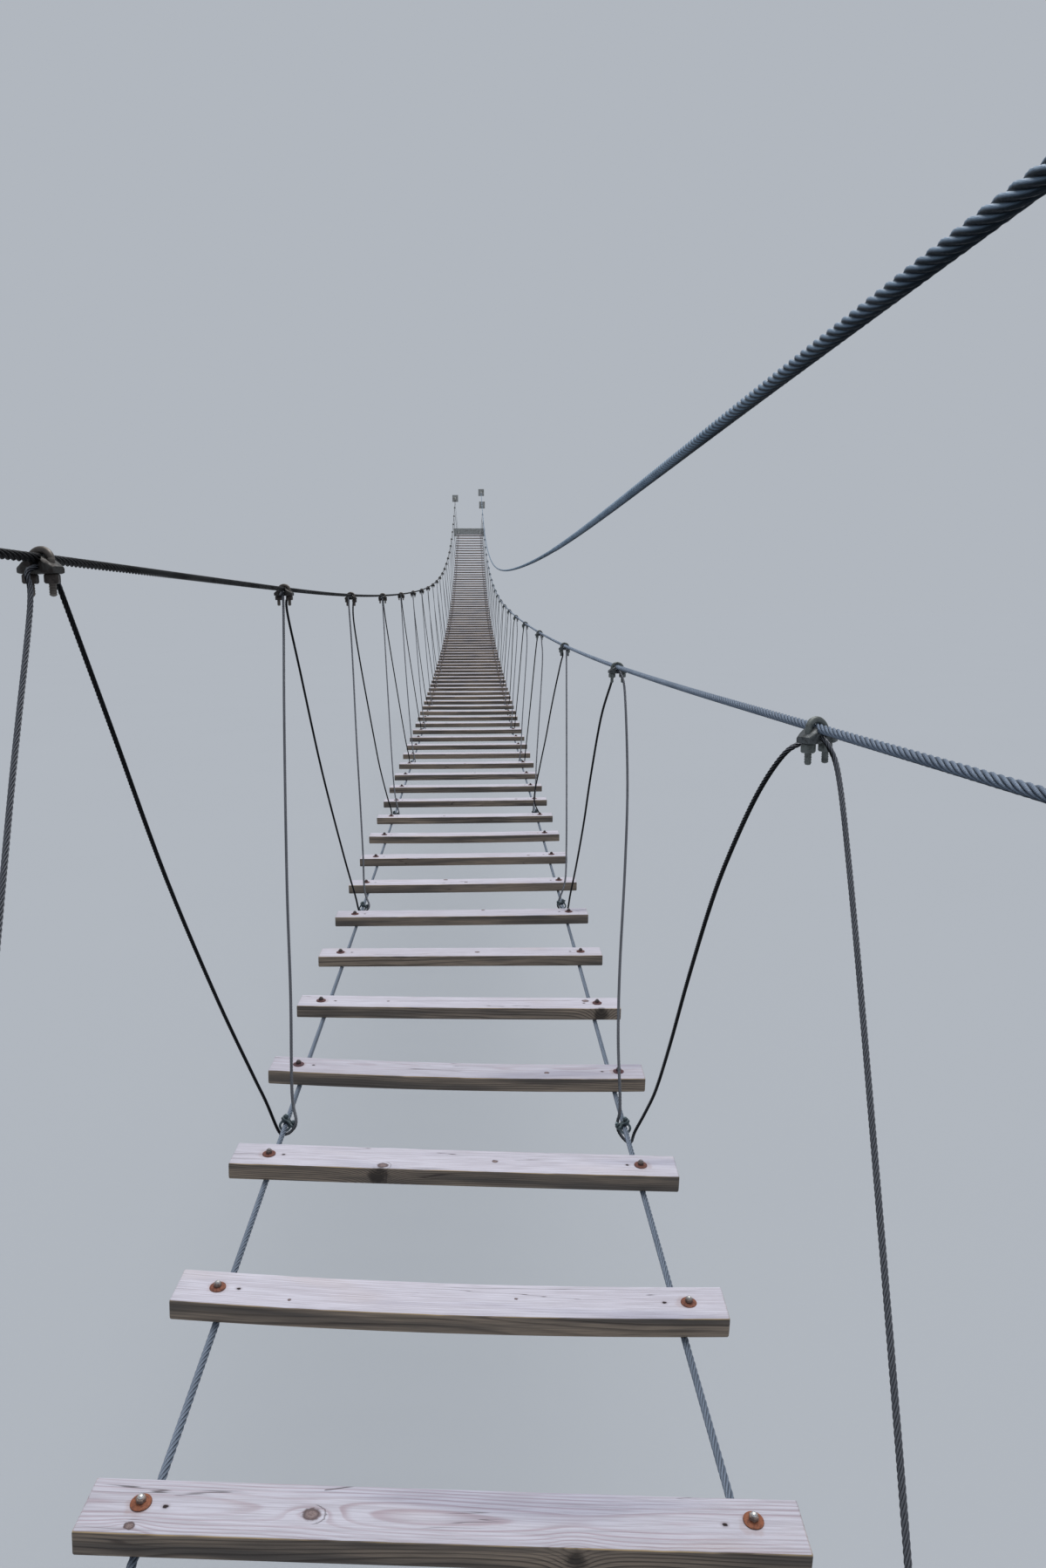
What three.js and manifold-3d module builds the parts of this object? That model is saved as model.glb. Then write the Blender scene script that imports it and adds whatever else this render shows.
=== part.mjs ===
// Rope suspension footbridge between two rock faces, as a 1:2 scale model, in millimetres, +Z up.
// Wooden treads lie on two deck cables. Hanger ropes run in a zigzag from the deck cables up to two
// handrail cables, and a safety cable for clipping a lanyard to runs above the right handrail.
// The bridge runs along +Y. +X is the right side. The origin is the centre of the back face of the
// near deck anchor plate.
import * as THREE from "three";
import { mergeVertices } from "three/addons/utils/BufferGeometryUtils.js";
import Module from "manifold-3d";

const wasm = await Module();
wasm.setup();

// Treads
const TREAD_LENGTH = 495;
const TREAD_WIDTH = 44.5;
const TREAD_THICKNESS = 19;
const TREAD_PITCH = 229;
const TREADS = 108;
const DECK_CABLE_OFFSET = 207.5;

// Ropes, as diameters
const DECK_CABLE = 6.4;
const HANDRAIL_CABLE = 7;
const SAFETY_CABLE = 11;
const HANGER_ROPE = 4;
const RAIL_SIDES = 6;
const DECK_CABLE_SIDES = 4;
const HANGER_SIDES = 4;

// How the bridge is divided
const TREADS_PER_SECTION = 12;
const TREADS_PER_BAY = 4;
const SECTIONS = TREADS / TREADS_PER_SECTION;
const BAYS_PER_SECTION = TREADS_PER_SECTION / TREADS_PER_BAY;
const RAIL_CLIP_AT = 1;
const DECK_CLIP_AT = 3;
const SECTIONS_BEFORE_CABLE_JOINT = [4, 6];

// Running gap between solids, and how far a rope is let into a tread
const GAP = 0.3;
const LET_IN = 0.8;

// Shape of the deck in side view, in tread lengths from its lowest place
const LOWEST_Y = 5090;
const FIRST_STATION_Y = 254;
const CURVE_SQUARE = -0.0002;
const CURVE_CUBE = 5.97e-5;

// Around this place the loaded deck hangs lower between the rails, and leans to its right side
const DIP_Y = 4030;
const DIP_REACH = 2060;
const LEAN_REACH = 1832;
const LEAN_FADE = 202;
const LEAN = 0.043;
const SKEW = 0.046;

// Handrails and safety cable: offset from the middle, height above the deck, and how much further
// out and up they are at the dip. The lift is one more rise, in the middle of the dip only. Some
// clips have slipped along their rail from the station they belong to.
const LEFT_RAIL = { x: -265, spread: 0, height: 609, rise: 47, lift: 0, slips: { 25: 8 } };
const RIGHT_RAIL = { x: 247, spread: 22, height: 488, rise: 40, lift: 21.5, slips: { 21: -18, 25: 20 } };
const SAFETY = { x: 233, spread: 0, height: 720, rise: 57, lift: 0, slips: {} };
const LIFT_REACH = 1140;

// Anchors at both ends
const END_RUN = 254;
const PLATE_THICKNESS = 10;
const DECK_PLATE = { width: 600, height: 150 };
const CABLE_PLATE = { width: 110, height: 130 };
const LUG = { thickness: 8, height: 34, length: 50 };
const SOCKET = { ear: 5, earLength: 46, start: 40, length: 44 };
const SOCKET_FROM_PLATE = 15;

const wood = new THREE.MeshStandardMaterial({ color: 0xcfc5c8, roughness: 0.85, metalness: 0 });
const steel = new THREE.MeshStandardMaterial({ color: 0x56606a, roughness: 0.5, metalness: 0.8 });
const darkSteel = new THREE.MeshStandardMaterial({ color: 0x3c3d3f, roughness: 0.6, metalness: 0.7 });
const plateSteel = new THREE.MeshStandardMaterial({ color: 0x6b6a66, roughness: 0.6, metalness: 0.7 });

const bridge = new THREE.Group();
const X = new THREE.Vector3(1, 0, 0);
const Y = new THREE.Vector3(0, 1, 0);
const Z = new THREE.Vector3(0, 0, 1);

// Solids

function solidOf(geometry) {
  const bare = new THREE.BufferGeometry();
  const source = geometry.index ? geometry.toNonIndexed() : geometry;
  bare.setAttribute("position", source.getAttribute("position"));
  const merged = mergeVertices(bare, 1e-4);
  const mesh = new wasm.Mesh({
    numProp: 3,
    vertProperties: new Float32Array(merged.attributes.position.array),
    triVerts: new Uint32Array(merged.index.array),
  });
  return new wasm.Manifold(mesh);
}

function addNode(name, geometries, material) {
  const joined = wasm.Manifold.union(geometries.map(solidOf)).getMesh();
  const position = new Float32Array(joined.numVert * 3);
  for (let i = 0; i < joined.numVert; i += 1) {
    const at = i * joined.numProp;
    position.set(joined.vertProperties.subarray(at, at + 3), i * 3);
  }
  const geometry = new THREE.BufferGeometry();
  geometry.setAttribute("position", new THREE.BufferAttribute(position, 3));
  geometry.setIndex(new THREE.BufferAttribute(new Uint32Array(joined.triVerts), 1));
  const mesh = new THREE.Mesh(geometry, material);
  mesh.name = name;
  bridge.add(mesh);
}

function box(size, matrix) {
  return new THREE.BoxGeometry(...size).applyMatrix4(matrix);
}

// A frame at a place, with its y axis along a direction and its x axis as near as can be to "side"
function frameAt(place, along, side = X) {
  const y = along.clone().normalize();
  const x = side.clone().addScaledVector(y, -side.dot(y)).normalize();
  const z = new THREE.Vector3().crossVectors(x, y);
  return new THREE.Matrix4().makeBasis(x, y, z).setPosition(place);
}

// Polygon with flat top and bottom, "across" wide between opposite flats
function flatPolygon(across, sides, Kind = THREE.Shape) {
  const corner = across / 2 / Math.cos(Math.PI / sides);
  const points = [];
  for (let i = 0; i < sides; i += 1) {
    const angle = Math.PI / 2 + ((2 * i + 1) / sides) * Math.PI;
    points.push(new THREE.Vector2(corner * Math.cos(angle), corner * Math.sin(angle)));
  }
  return new Kind(points);
}

// A path of straight lengths, so that a rope has its corners exactly at the given places
class RopePath extends THREE.Curve {
  constructor(points) {
    super();
    this.points = points;
  }

  getPoint(t) {
    const at = t * (this.points.length - 1);
    const i = Math.min(Math.floor(at), this.points.length - 2);
    return this.points[i].clone().lerp(this.points[i + 1], at - i);
  }

  getSpacedPoints() {
    return this.points;
  }

  getTangentAt(t) {
    return directionAt(this.points, Math.round(t * (this.points.length - 1)));
  }
}

function twoDigits(number) {
  return String(number).padStart(2, "0");
}

function directionAt(points, i) {
  const before = points[Math.max(i - 1, 0)];
  const after = points[Math.min(i + 1, points.length - 1)];
  return after.clone().sub(before).normalize();
}

function cable(points, diameter, sides) {
  return new THREE.ExtrudeGeometry(flatPolygon(diameter, sides), {
    steps: points.length - 1,
    extrudePath: new RopePath(points),
  });
}

// Shape of the bridge

function curveHeight(y) {
  const u = Math.abs(y - LOWEST_Y) / TREAD_LENGTH;
  return TREAD_LENGTH * (CURVE_SQUARE * u ** 2 + CURVE_CUBE * u ** 3);
}

const CABLE_BELOW_TOP = TREAD_THICKNESS + DECK_CABLE / 2 - LET_IN;
const deckTop = (y) => curveHeight(y) - curveHeight(0) + CABLE_BELOW_TOP;
const dip = (y, reach = DIP_REACH) => Math.exp(-(((y - DIP_Y) / reach) ** 2));
const leanShare = (y) => 1 / (1 + Math.exp((Math.abs(y - DIP_Y) - LEAN_REACH) / LEAN_FADE));

// Stations lie halfway between treads, one pitch apart along the deck
const stations = [new THREE.Vector3(0, FIRST_STATION_Y, deckTop(FIRST_STATION_Y))];
while (stations.length <= TREADS) {
  const last = stations[stations.length - 1];
  const slope = (deckTop(last.y + TREAD_PITCH) - deckTop(last.y)) / TREAD_PITCH;
  const y = last.y + TREAD_PITCH / Math.hypot(1, slope);
  stations.push(new THREE.Vector3(0, y, deckTop(y)));
}
const LAST_STATION_Y = stations[TREADS].y;
const FAR_Y = LAST_STATION_Y + END_RUN;

function acrossDeck(y) {
  const share = leanShare(y);
  return new THREE.Vector3(1, -SKEW * share, -LEAN * share).normalize();
}

function deckCablePoint(k, side) {
  const place = stations[k];
  const frame = frameAt(place, directionAt(stations, k), acrossDeck(place.y));
  return new THREE.Vector3(side * DECK_CABLE_OFFSET, 0, -CABLE_BELOW_TOP).applyMatrix4(frame);
}

function treadMatrix(i) {
  const middle = stations[i].clone().lerp(stations[i + 1], 0.5);
  const across = acrossDeck(middle.y);
  const along = stations[i + 1].clone().sub(stations[i]);
  const y = along.addScaledVector(across, -along.dot(across)).normalize();
  const z = new THREE.Vector3().crossVectors(across, y);
  return new THREE.Matrix4().makeBasis(across, y, z).setPosition(middle);
}

function railPoint(rail, y) {
  const share = dip(y);
  return new THREE.Vector3(
    rail.x + rail.spread * share,
    y,
    deckTop(y) + rail.height + rail.rise * share + rail.lift * dip(y, LIFT_REACH),
  );
}

const clipPoint = (rail, k) => railPoint(rail, stations[k].y + (rail.slips[k] ?? 0));

// Ends of the cables

function socket(place, along, diameter) {
  const frame = frameAt(place, along);
  const height = diameter * 2.2;
  const body = (LUG.thickness + 2 * GAP + 2 * SOCKET.ear) / 2;
  const bodyMiddle = SOCKET.start + SOCKET.length / 2;
  const earX = LUG.thickness / 2 + GAP + SOCKET.ear / 2;
  const pieces = [
    new THREE.CylinderGeometry(body * 0.8, body, SOCKET.length, 8)
      .translate(0, bodyMiddle, 0)
      .applyMatrix4(frame),
  ];
  for (const side of [-1, 1]) {
    const ear = new THREE.BoxGeometry(SOCKET.ear, SOCKET.earLength, height);
    pieces.push(ear.translate(side * earX, SOCKET.earLength / 2, 0).applyMatrix4(frame));
  }
  return pieces;
}

const NEAR_PIN_Y = PLATE_THICKNESS + SOCKET_FROM_PLATE;
const FAR_PIN_Y = FAR_Y - NEAR_PIN_Y;
const SOCKET_REACH = SOCKET.start + SOCKET.length / 2;

// A rail or safety cable from anchor to anchor, with a socket at each end. Its lengths meet end to
// end at stations that carry no clip.
function addCable(name, rail, diameter, material) {
  const points = [railPoint(rail, NEAR_PIN_Y)];
  const bounds = [0];
  const joints = SECTIONS_BEFORE_CABLE_JOINT.map((sections) => sections * TREADS_PER_SECTION - 1);
  for (let k = RAIL_CLIP_AT; k <= TREADS; k += 2) {
    if (joints.includes(k)) bounds.push(points.length);
    points.push(clipPoint(rail, k));
  }
  bounds.push(points.length);
  points.push(railPoint(rail, FAR_PIN_Y));
  for (let part = 1; part < bounds.length; part += 1) {
    const line = points.slice(bounds[part - 1], bounds[part] + 1).map((point) => point.clone());
    const end = line.length - 1;
    const nearWay = directionAt(line, 0);
    const farWay = directionAt(line, end).negate();
    const sockets = [];
    if (part === 1) sockets.push(...socket(line[0], nearWay, diameter));
    if (part === bounds.length - 1) sockets.push(...socket(line[end], farWay, diameter));
    line[0].addScaledVector(nearWay, part === 1 ? SOCKET_REACH : GAP / 2);
    line[end].addScaledVector(farWay, part === bounds.length - 1 ? SOCKET_REACH : GAP / 2);
    const pieces = [cable(line, diameter, RAIL_SIDES), ...sockets];
    addNode(`${name}_${twoDigits(part)}`, pieces, material);
  }
}

// Deck sections: treads fused to the lengths of the two deck cables under them

function deckCableEnd(side, k, pinY) {
  const place = deckCablePoint(k, side);
  const next = deckCablePoint(k === 0 ? 1 : k - 1, side);
  const slope = (place.z - next.z) / (place.y - next.y);
  return new THREE.Vector3(place.x, pinY, place.z + slope * (pinY - place.y));
}

function deckCable(section, side) {
  const first = section * TREADS_PER_SECTION;
  const last = first + TREADS_PER_SECTION;
  const points = [];
  for (let k = first; k <= last; k += 1) {
    points.push(deckCablePoint(k, side));
  }
  const pieces = [];
  if (section === 0) {
    const pin = deckCableEnd(side, 0, NEAR_PIN_Y);
    const way = points[0].clone().sub(pin).normalize();
    pieces.push(...socket(pin, way, DECK_CABLE));
    points.unshift(pin.addScaledVector(way, SOCKET_REACH));
  } else {
    points[0].addScaledVector(directionAt(points, 0), GAP / 2);
  }
  const end = points.length - 1;
  if (section === SECTIONS - 1) {
    const pin = deckCableEnd(side, TREADS, FAR_PIN_Y);
    const way = points[end].clone().sub(pin).normalize();
    pieces.push(...socket(pin, way, DECK_CABLE));
    points.push(pin.addScaledVector(way, SOCKET_REACH));
  } else {
    points[end].addScaledVector(directionAt(points, end), -GAP / 2);
  }
  return [cable(points, DECK_CABLE, DECK_CABLE_SIDES), ...pieces];
}

for (let section = 0; section < SECTIONS; section += 1) {
  const pieces = [...deckCable(section, -1), ...deckCable(section, 1)];
  for (let i = 0; i < TREADS_PER_SECTION; i += 1) {
    const tread = new THREE.BoxGeometry(TREAD_LENGTH, TREAD_WIDTH, TREAD_THICKNESS);
    tread.translate(0, 0, -TREAD_THICKNESS / 2);
    pieces.push(tread.applyMatrix4(treadMatrix(section * TREADS_PER_SECTION + i)));
  }
  addNode(`deck_section_${twoDigits(section + 1)}`, pieces, wood);
}

// Handrail cables and safety cable

addCable("handrail_cable_left", LEFT_RAIL, HANDRAIL_CABLE, darkSteel);
addCable("handrail_cable_right", RIGHT_RAIL, HANDRAIL_CABLE, steel);
addCable("safety_cable", SAFETY, SAFETY_CABLE, steel);

// Hanger nets: a zigzag rope with a clip round the cable at each bend

const RAIL_CLIP = { foot: 28, head: 20, below: 16, above: 8.5, length: 16, sides: RAIL_SIDES };
const DECK_CLIP = { foot: 20, head: 16, below: 9, above: 8, length: 16, sides: DECK_CABLE_SIDES };

// Going away from the near end, the rope leaves a rail clip on its inner, far side and comes down
// outside the deck cable. It passes under that and goes up on the inner side to the next rail clip.
// "down" and "up" are its bends between the clips: the share of the way down from the rail clip,
// and how far inside the straight line between the clips' middles the rope lies there.
// "under" is its bend at the deck clip, as places inward, along and up from the clip's middle.
// "loose" gives other bends of the rope before and behind one rail clip.
const LEFT_NET = {
  side: -1,
  rail: LEFT_RAIL,
  down: [[0.3, -10.5], [0.8, -15.3]],
  up: [[0.5, -0.5], [0.88, 4]],
  under: [[-8, -7, -4.5], [0, -8, -8.5], [8, -7, -4.5], [12.8, -2, 6]],
  loose: {
    21: {
      down: [[0.04, 4.3], [0.2, -2.2], [0.42, -11.5], [0.66, -14.6], [0.93, -11.8]],
      up: [[0.06, -0.6], [0.3, -0.7], [0.9, 7.1]],
    },
    25: {
      down: [[0.2, -6.7], [0.5, -13], [0.8, -12.6], [0.95, -10.2]],
      up: [[0.3, 0], [0.6, 2.5], [0.8, 6.6], [0.95, 7.4]],
    },
  },
};
const RIGHT_NET = {
  side: 1,
  rail: RIGHT_RAIL,
  down: [[0.12, 5.8], [0.6, -7.6], [0.92, -14.8]],
  up: [[0.2, -12.8], [0.7, 0.3], [0.9, 3.2]],
  under: [[-12.5, -3, -5], [-8.5, -2, -19], [-2.5, 2, -20], [6, 7, -10], [7.5, 9, 2]],
  loose: {
    21: {
      down: [[0.036, 15], [0.095, 21.5], [0.19, 22.5], [0.3, 19.4], [0.49, 7.8], [0.69, -6.4],
        [0.845, -15.6], [0.937, -16.8]],
      up: [[0.046, -11], [0.115, -12.2], [0.29, -10.9], [0.65, -5.4], [0.93, 2.2]],
    },
    25: {
      down: [[0.053, 4], [0.174, 7.8], [0.4, 2.1], [0.6, -5.3], [0.8, -10.2], [0.94, -12]],
      up: [[0.072, -11.4], [0.3, -12.6], [0.5, -6.5], [0.7, 2.6], [0.84, 6.3], [0.96, 5]],
    },
    29: {
      down: [[0.3, 6.6], [0.5, 7.9], [0.7, 11.2], [0.9, 11.5]],
      up: [[0.3, -6.3], [0.8, -8.2], [0.92, -6]],
    },
  },
};
const HELD_UNDER_RAIL = { inward: 3, along: 5, down: 8 };
const END_BEFORE_CLIP = 11.5;

function clip(size, diameter, frame) {
  const outline = new THREE.Shape([
    new THREE.Vector2(-size.foot / 2, -size.below),
    new THREE.Vector2(size.foot / 2, -size.below),
    new THREE.Vector2(size.head / 2, size.above),
    new THREE.Vector2(-size.head / 2, size.above),
  ]);
  outline.holes.push(flatPolygon(diameter + 2 * GAP, size.sides, THREE.Path));
  const body = new THREE.ExtrudeGeometry(outline, { depth: size.length, bevelEnabled: false });
  body.translate(0, 0, -size.length / 2).rotateX(Math.PI / 2);
  return body.applyMatrix4(frame);
}

// One length of hanger rope, from a rail clip down to a deck clip and up to the next rail clip
function hangerRope(net, from, deckFrame, to, loose, endAlong) {
  const inward = X.clone().multiplyScalar(-net.side);
  const deck = new THREE.Vector3().setFromMatrixPosition(deckFrame);
  const held = (place, way, along) => place
    .clone()
    .addScaledVector(inward, way * HELD_UNDER_RAIL.inward)
    .addScaledVector(Y, way * along)
    .addScaledVector(Z, -HELD_UNDER_RAIL.down);
  const bend = (rail, share, offset) => rail.clone().lerp(deck, share).addScaledVector(inward, offset);
  const down = loose.down ?? net.down;
  const up = (loose.up ?? net.up).toReversed();
  const points = [
    held(from, 1, HELD_UNDER_RAIL.along),
    ...down.map(([share, offset]) => bend(from, share, offset)),
    ...net.under.map(([inside, along, above]) =>
      new THREE.Vector3(-net.side * inside, along, above).applyMatrix4(deckFrame)),
    ...up.map(([share, offset]) => bend(to, share, offset)),
    held(to, -1, endAlong),
  ];
  return cable(points, HANGER_ROPE, HANGER_SIDES);
}

function railClipFrame(rail, k) {
  const along = railPoint(rail, stations[k + 1].y).sub(railPoint(rail, stations[k - 1].y));
  return frameAt(clipPoint(rail, k), along);
}

function deckClipFrame(side, k) {
  const along = deckCablePoint(k + 1, side).sub(deckCablePoint(k - 1, side));
  return frameAt(deckCablePoint(k, side), along);
}

// The last rail clip sits beyond the last tread
function endClipFrame(rail) {
  const lastBend = clipPoint(rail, TREADS - 1);
  const along = railPoint(rail, FAR_PIN_Y).sub(lastBend).normalize();
  return frameAt(lastBend.addScaledVector(along, TREAD_PITCH + RAIL_CLIP.length), along);
}

function hangerNet(section, net) {
  const pieces = [];
  for (let bay = 0; bay < BAYS_PER_SECTION; bay += 1) {
    const start = section * TREADS_PER_SECTION + bay * TREADS_PER_BAY;
    const railAt = start + RAIL_CLIP_AT;
    const nextRailAt = railAt + TREADS_PER_BAY;
    const isEnd = nextRailAt > TREADS;
    const isLast = bay === BAYS_PER_SECTION - 1 && !isEnd;
    const railFrame = railClipFrame(net.rail, railAt);
    const deckFrame = deckClipFrame(net.side, start + DECK_CLIP_AT);
    const nextFrame = isEnd ? endClipFrame(net.rail) : railClipFrame(net.rail, nextRailAt);
    const from = new THREE.Vector3().setFromMatrixPosition(railFrame);
    const to = new THREE.Vector3().setFromMatrixPosition(nextFrame);
    const loose = { down: net.loose[railAt]?.down, up: net.loose[nextRailAt]?.up };
    const endAlong = isLast ? END_BEFORE_CLIP : HELD_UNDER_RAIL.along;
    pieces.push(clip(RAIL_CLIP, HANDRAIL_CABLE, railFrame));
    pieces.push(clip(DECK_CLIP, DECK_CABLE, deckFrame));
    if (isEnd) pieces.push(clip(RAIL_CLIP, HANDRAIL_CABLE, nextFrame));
    pieces.push(hangerRope(net, from, deckFrame, to, loose, endAlong));
  }
  return pieces;
}

for (let section = 0; section < SECTIONS; section += 1) {
  const number = twoDigits(section + 1);
  addNode(`hanger_net_left_${number}`, hangerNet(section, LEFT_NET), darkSteel);
  addNode(`hanger_net_right_${number}`, hangerNet(section, RIGHT_NET), steel);
}

// Anchor plates with lugs, held to the rock by their flat back faces

function anchorPieces(size, centre, lugXs, facing) {
  const plateY = centre.y + (facing * PLATE_THICKNESS) / 2;
  const lugLength = LUG.length + 1;
  const lugY = centre.y + facing * (PLATE_THICKNESS - 1 + lugLength / 2);
  const at = (x, y) => new THREE.Matrix4().makeTranslation(x, y, centre.z);
  const pieces = [box([size.width, PLATE_THICKNESS, size.height], at(centre.x, plateY))];
  for (const x of lugXs) {
    pieces.push(box([LUG.thickness, lugLength, LUG.height], at(x, lugY)));
  }
  return pieces;
}

for (const [end, plateY, pinY, facing, k] of [
  ["near", 0, NEAR_PIN_Y, 1, 0],
  ["far", FAR_Y, FAR_PIN_Y, -1, TREADS],
]) {
  const pins = [-1, 1].map((side) => deckCableEnd(side, k, pinY));
  const middle = new THREE.Vector3(0, plateY, end === "near" ? 0 : pins[0].z);
  addNode(
    `deck_anchor_${end}`,
    anchorPieces(DECK_PLATE, middle, pins.map((pin) => pin.x), facing),
    plateSteel,
  );
  for (const [name, rail] of [
    ["handrail_anchor_left", LEFT_RAIL],
    ["handrail_anchor_right", RIGHT_RAIL],
    ["safety_anchor", SAFETY],
  ]) {
    const pin = railPoint(rail, pinY);
    const centre = new THREE.Vector3(pin.x, plateY, pin.z);
    addNode(`${name}_${end}`, anchorPieces(CABLE_PLATE, centre, [pin.x], facing), plateSteel);
  }
}

export default bridge;
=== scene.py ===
"""Rope suspension footbridge, 1:2 scale model, dressed around its CAD frame. Metres, +Z up, +Y along."""
import math
import random

import bpy
import numpy as np
from mathutils import Euler, Matrix


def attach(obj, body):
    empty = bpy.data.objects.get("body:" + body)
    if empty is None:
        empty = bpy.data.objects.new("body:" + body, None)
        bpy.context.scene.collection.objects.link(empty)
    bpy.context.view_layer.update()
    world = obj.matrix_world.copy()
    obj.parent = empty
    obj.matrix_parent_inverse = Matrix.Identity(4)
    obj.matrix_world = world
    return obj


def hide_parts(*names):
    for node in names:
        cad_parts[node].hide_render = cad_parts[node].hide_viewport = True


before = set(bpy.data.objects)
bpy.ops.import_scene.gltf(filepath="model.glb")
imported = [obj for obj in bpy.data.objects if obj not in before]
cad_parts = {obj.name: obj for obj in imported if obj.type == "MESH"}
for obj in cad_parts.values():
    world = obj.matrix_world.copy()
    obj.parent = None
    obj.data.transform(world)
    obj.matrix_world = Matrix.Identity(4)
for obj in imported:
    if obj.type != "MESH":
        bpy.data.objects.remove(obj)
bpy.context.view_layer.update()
MM = 0.001
TINY = 0.00001  # keeps a divisor from being zero

# Treads
TREAD_LENGTH, TREAD_WIDTH, TREAD_THICKNESS = 0.495, 0.0445, 0.019
TREAD_PITCH, TREADS = 0.229, 108
SECTIONS, SECTION_TREADS, SECTION_BAYS, BAY = 9, 12, 3, 4
BOLT_OFFSET, DECK_CABLE_OFFSET = 0.2107, 0.2075
NAIL_OFFSET = 0.192
RING_SPACING = 0.0018
SEED_SPREAD = 71.0  # how far apart the boards are cut from one endless log
GOLDEN = 0.6180339  # spreads the seeds of neighbours well

# What is near the camera, and so has full detail
NEAR_TREADS, NEAR_BOLTS = range(19, 40), range(19, 44)
NEAR_RAIL_CLIPS, NEAR_DECK_CLIPS = range(17, 34), range(15, 36)

# Seeds of the random draws
TREAD_SEED, LOOK_SEED, BOLT_SEED, CLIP_SEED, HANGER_SEED = 100, 500, 5, 11, 7

# Ropes of six strands: diameters, and how many diameters a strand takes for one turn
DECK_CABLE, HANDRAIL_CABLE, SAFETY_CABLE, HANGER_ROPE = 0.0064, 0.007, 0.011, 0.004
DECK_LAY, HANDRAIL_LAY, SAFETY_LAY, HANGER_LAY = 6.8, 7.0, 6.65, 5.7
STRANDS, WIRES, WIRE_LAY = 6, 14.0, 3.0
LET_IN = 0.0008

# Shape of the deck and the rails, as in the part
LOWEST_Y, FIRST_STATION_Y = 5.09, 0.254
CURVE_SQUARE, CURVE_CUBE = -0.0002, 5.97e-5
DIP_Y, DIP_REACH, LEAN_REACH, LEAN_FADE = 4.03, 2.06, 1.832, 0.202
LEAN, SKEW = 0.043, 0.046
LIFT_REACH = 1.14
LEFT_RAIL = {"x": -0.265, "spread": 0.0, "height": 0.609, "rise": 0.047, "lift": 0.0, "slips": {25: 0.008}}
RIGHT_RAIL = {"x": 0.247, "spread": 0.022, "height": 0.488, "rise": 0.040, "lift": 0.0215,
              "slips": {21: -0.018, 25: 0.020}}
SAFETY = {"x": 0.233, "spread": 0.0, "height": 0.720, "rise": 0.057, "lift": 0.0, "slips": {}}
RAIL_CLIPS, DECK_CLIPS = range(1, TREADS, BAY), range(3, TREADS, BAY)
END_RUN, PIN_FROM_END = 0.254, 0.025
END_CLIP_RUN = 0.245

# Where ropes have modelled strands: full detail up to the first place, less up to the second
FINE_FROM, RAIL_FINE_TO, RAIL_MID_TO = 4.42, 7.0, 11.0
DECK_FINE_TO, DECK_MID_TO = 6.2, 9.2
HANGER_FINE = range(17, 30)
BEYOND = 99


# Layout

def curve_height(y):
    u = abs(y - LOWEST_Y) / TREAD_LENGTH
    return TREAD_LENGTH * (CURVE_SQUARE * u ** 2 + CURVE_CUBE * u ** 3)


CABLE_BELOW_TOP = TREAD_THICKNESS + DECK_CABLE / 2 - LET_IN


def deck_top(y):
    return curve_height(y) - curve_height(0) + CABLE_BELOW_TOP


def dip(y, reach=DIP_REACH):
    return math.exp(-(((y - DIP_Y) / reach) ** 2))


def lean_share(y):
    return 1 / (1 + math.exp((abs(y - DIP_Y) - LEAN_REACH) / LEAN_FADE))


def unit(v):
    v = np.asarray(v, float)
    return v / np.linalg.norm(v)


def make_stations():
    found = [np.array([0.0, FIRST_STATION_Y, deck_top(FIRST_STATION_Y)])]
    while len(found) <= TREADS:
        y = found[-1][1]
        slope = (deck_top(y + TREAD_PITCH) - deck_top(y)) / TREAD_PITCH
        y += TREAD_PITCH / math.hypot(1, slope)
        found.append(np.array([0.0, y, deck_top(y)]))
    return found


STATIONS = make_stations()
FAR_Y = STATIONS[TREADS][1] + END_RUN
NEAR_PIN_Y, FAR_PIN_Y = PIN_FROM_END, FAR_Y - PIN_FROM_END


def across_deck(y):
    share = lean_share(y)
    return unit([1, -SKEW * share, -LEAN * share])


def direction_at(points, i):
    return unit(points[min(i + 1, len(points) - 1)] - points[max(i - 1, 0)])


def frame_at(along, side=(1, 0, 0)):
    """Columns x, y, z of a frame with y along a direction and x as near as can be to side."""
    y = unit(along)
    x = np.asarray(side, float)
    x = unit(x - y * x.dot(y))
    return np.column_stack([x, y, np.cross(x, y)])


def deck_cable_point(k, side):
    y = STATIONS[k][1]
    axes = frame_at(direction_at(STATIONS, k), across_deck(y))
    return STATIONS[k] + axes @ np.array([side * DECK_CABLE_OFFSET, 0, -CABLE_BELOW_TOP])


def tread_frame(i):
    middle = (STATIONS[i] + STATIONS[i + 1]) / 2
    across = across_deck(middle[1])
    along = STATIONS[i + 1] - STATIONS[i]
    y = unit(along - across * along.dot(across))
    return middle, np.column_stack([across, y, np.cross(across, y)])


def rail_point(rail, y):
    share = dip(y)
    z = deck_top(y) + rail["height"] + rail["rise"] * share + rail["lift"] * dip(y, LIFT_REACH)
    return np.array([rail["x"] + rail["spread"] * share, y, z])


def clip_point(rail, k):
    return rail_point(rail, STATIONS[k][1] + rail["slips"].get(k, 0.0))


# Camera, at the photograph's viewing angle

CAMERA_X, CAMERA_Y, CAMERA_ABOVE_TREAD = 0.0238, 4.33125, 0.6228
CAMERA_PITCH, CAMERA_YAW, CAMERA_ROLL = 10.397, 2.772, -0.092
TREAD_BELOW_CAMERA = 20
LENS, SENSOR = 24.007, 36.0

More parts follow.
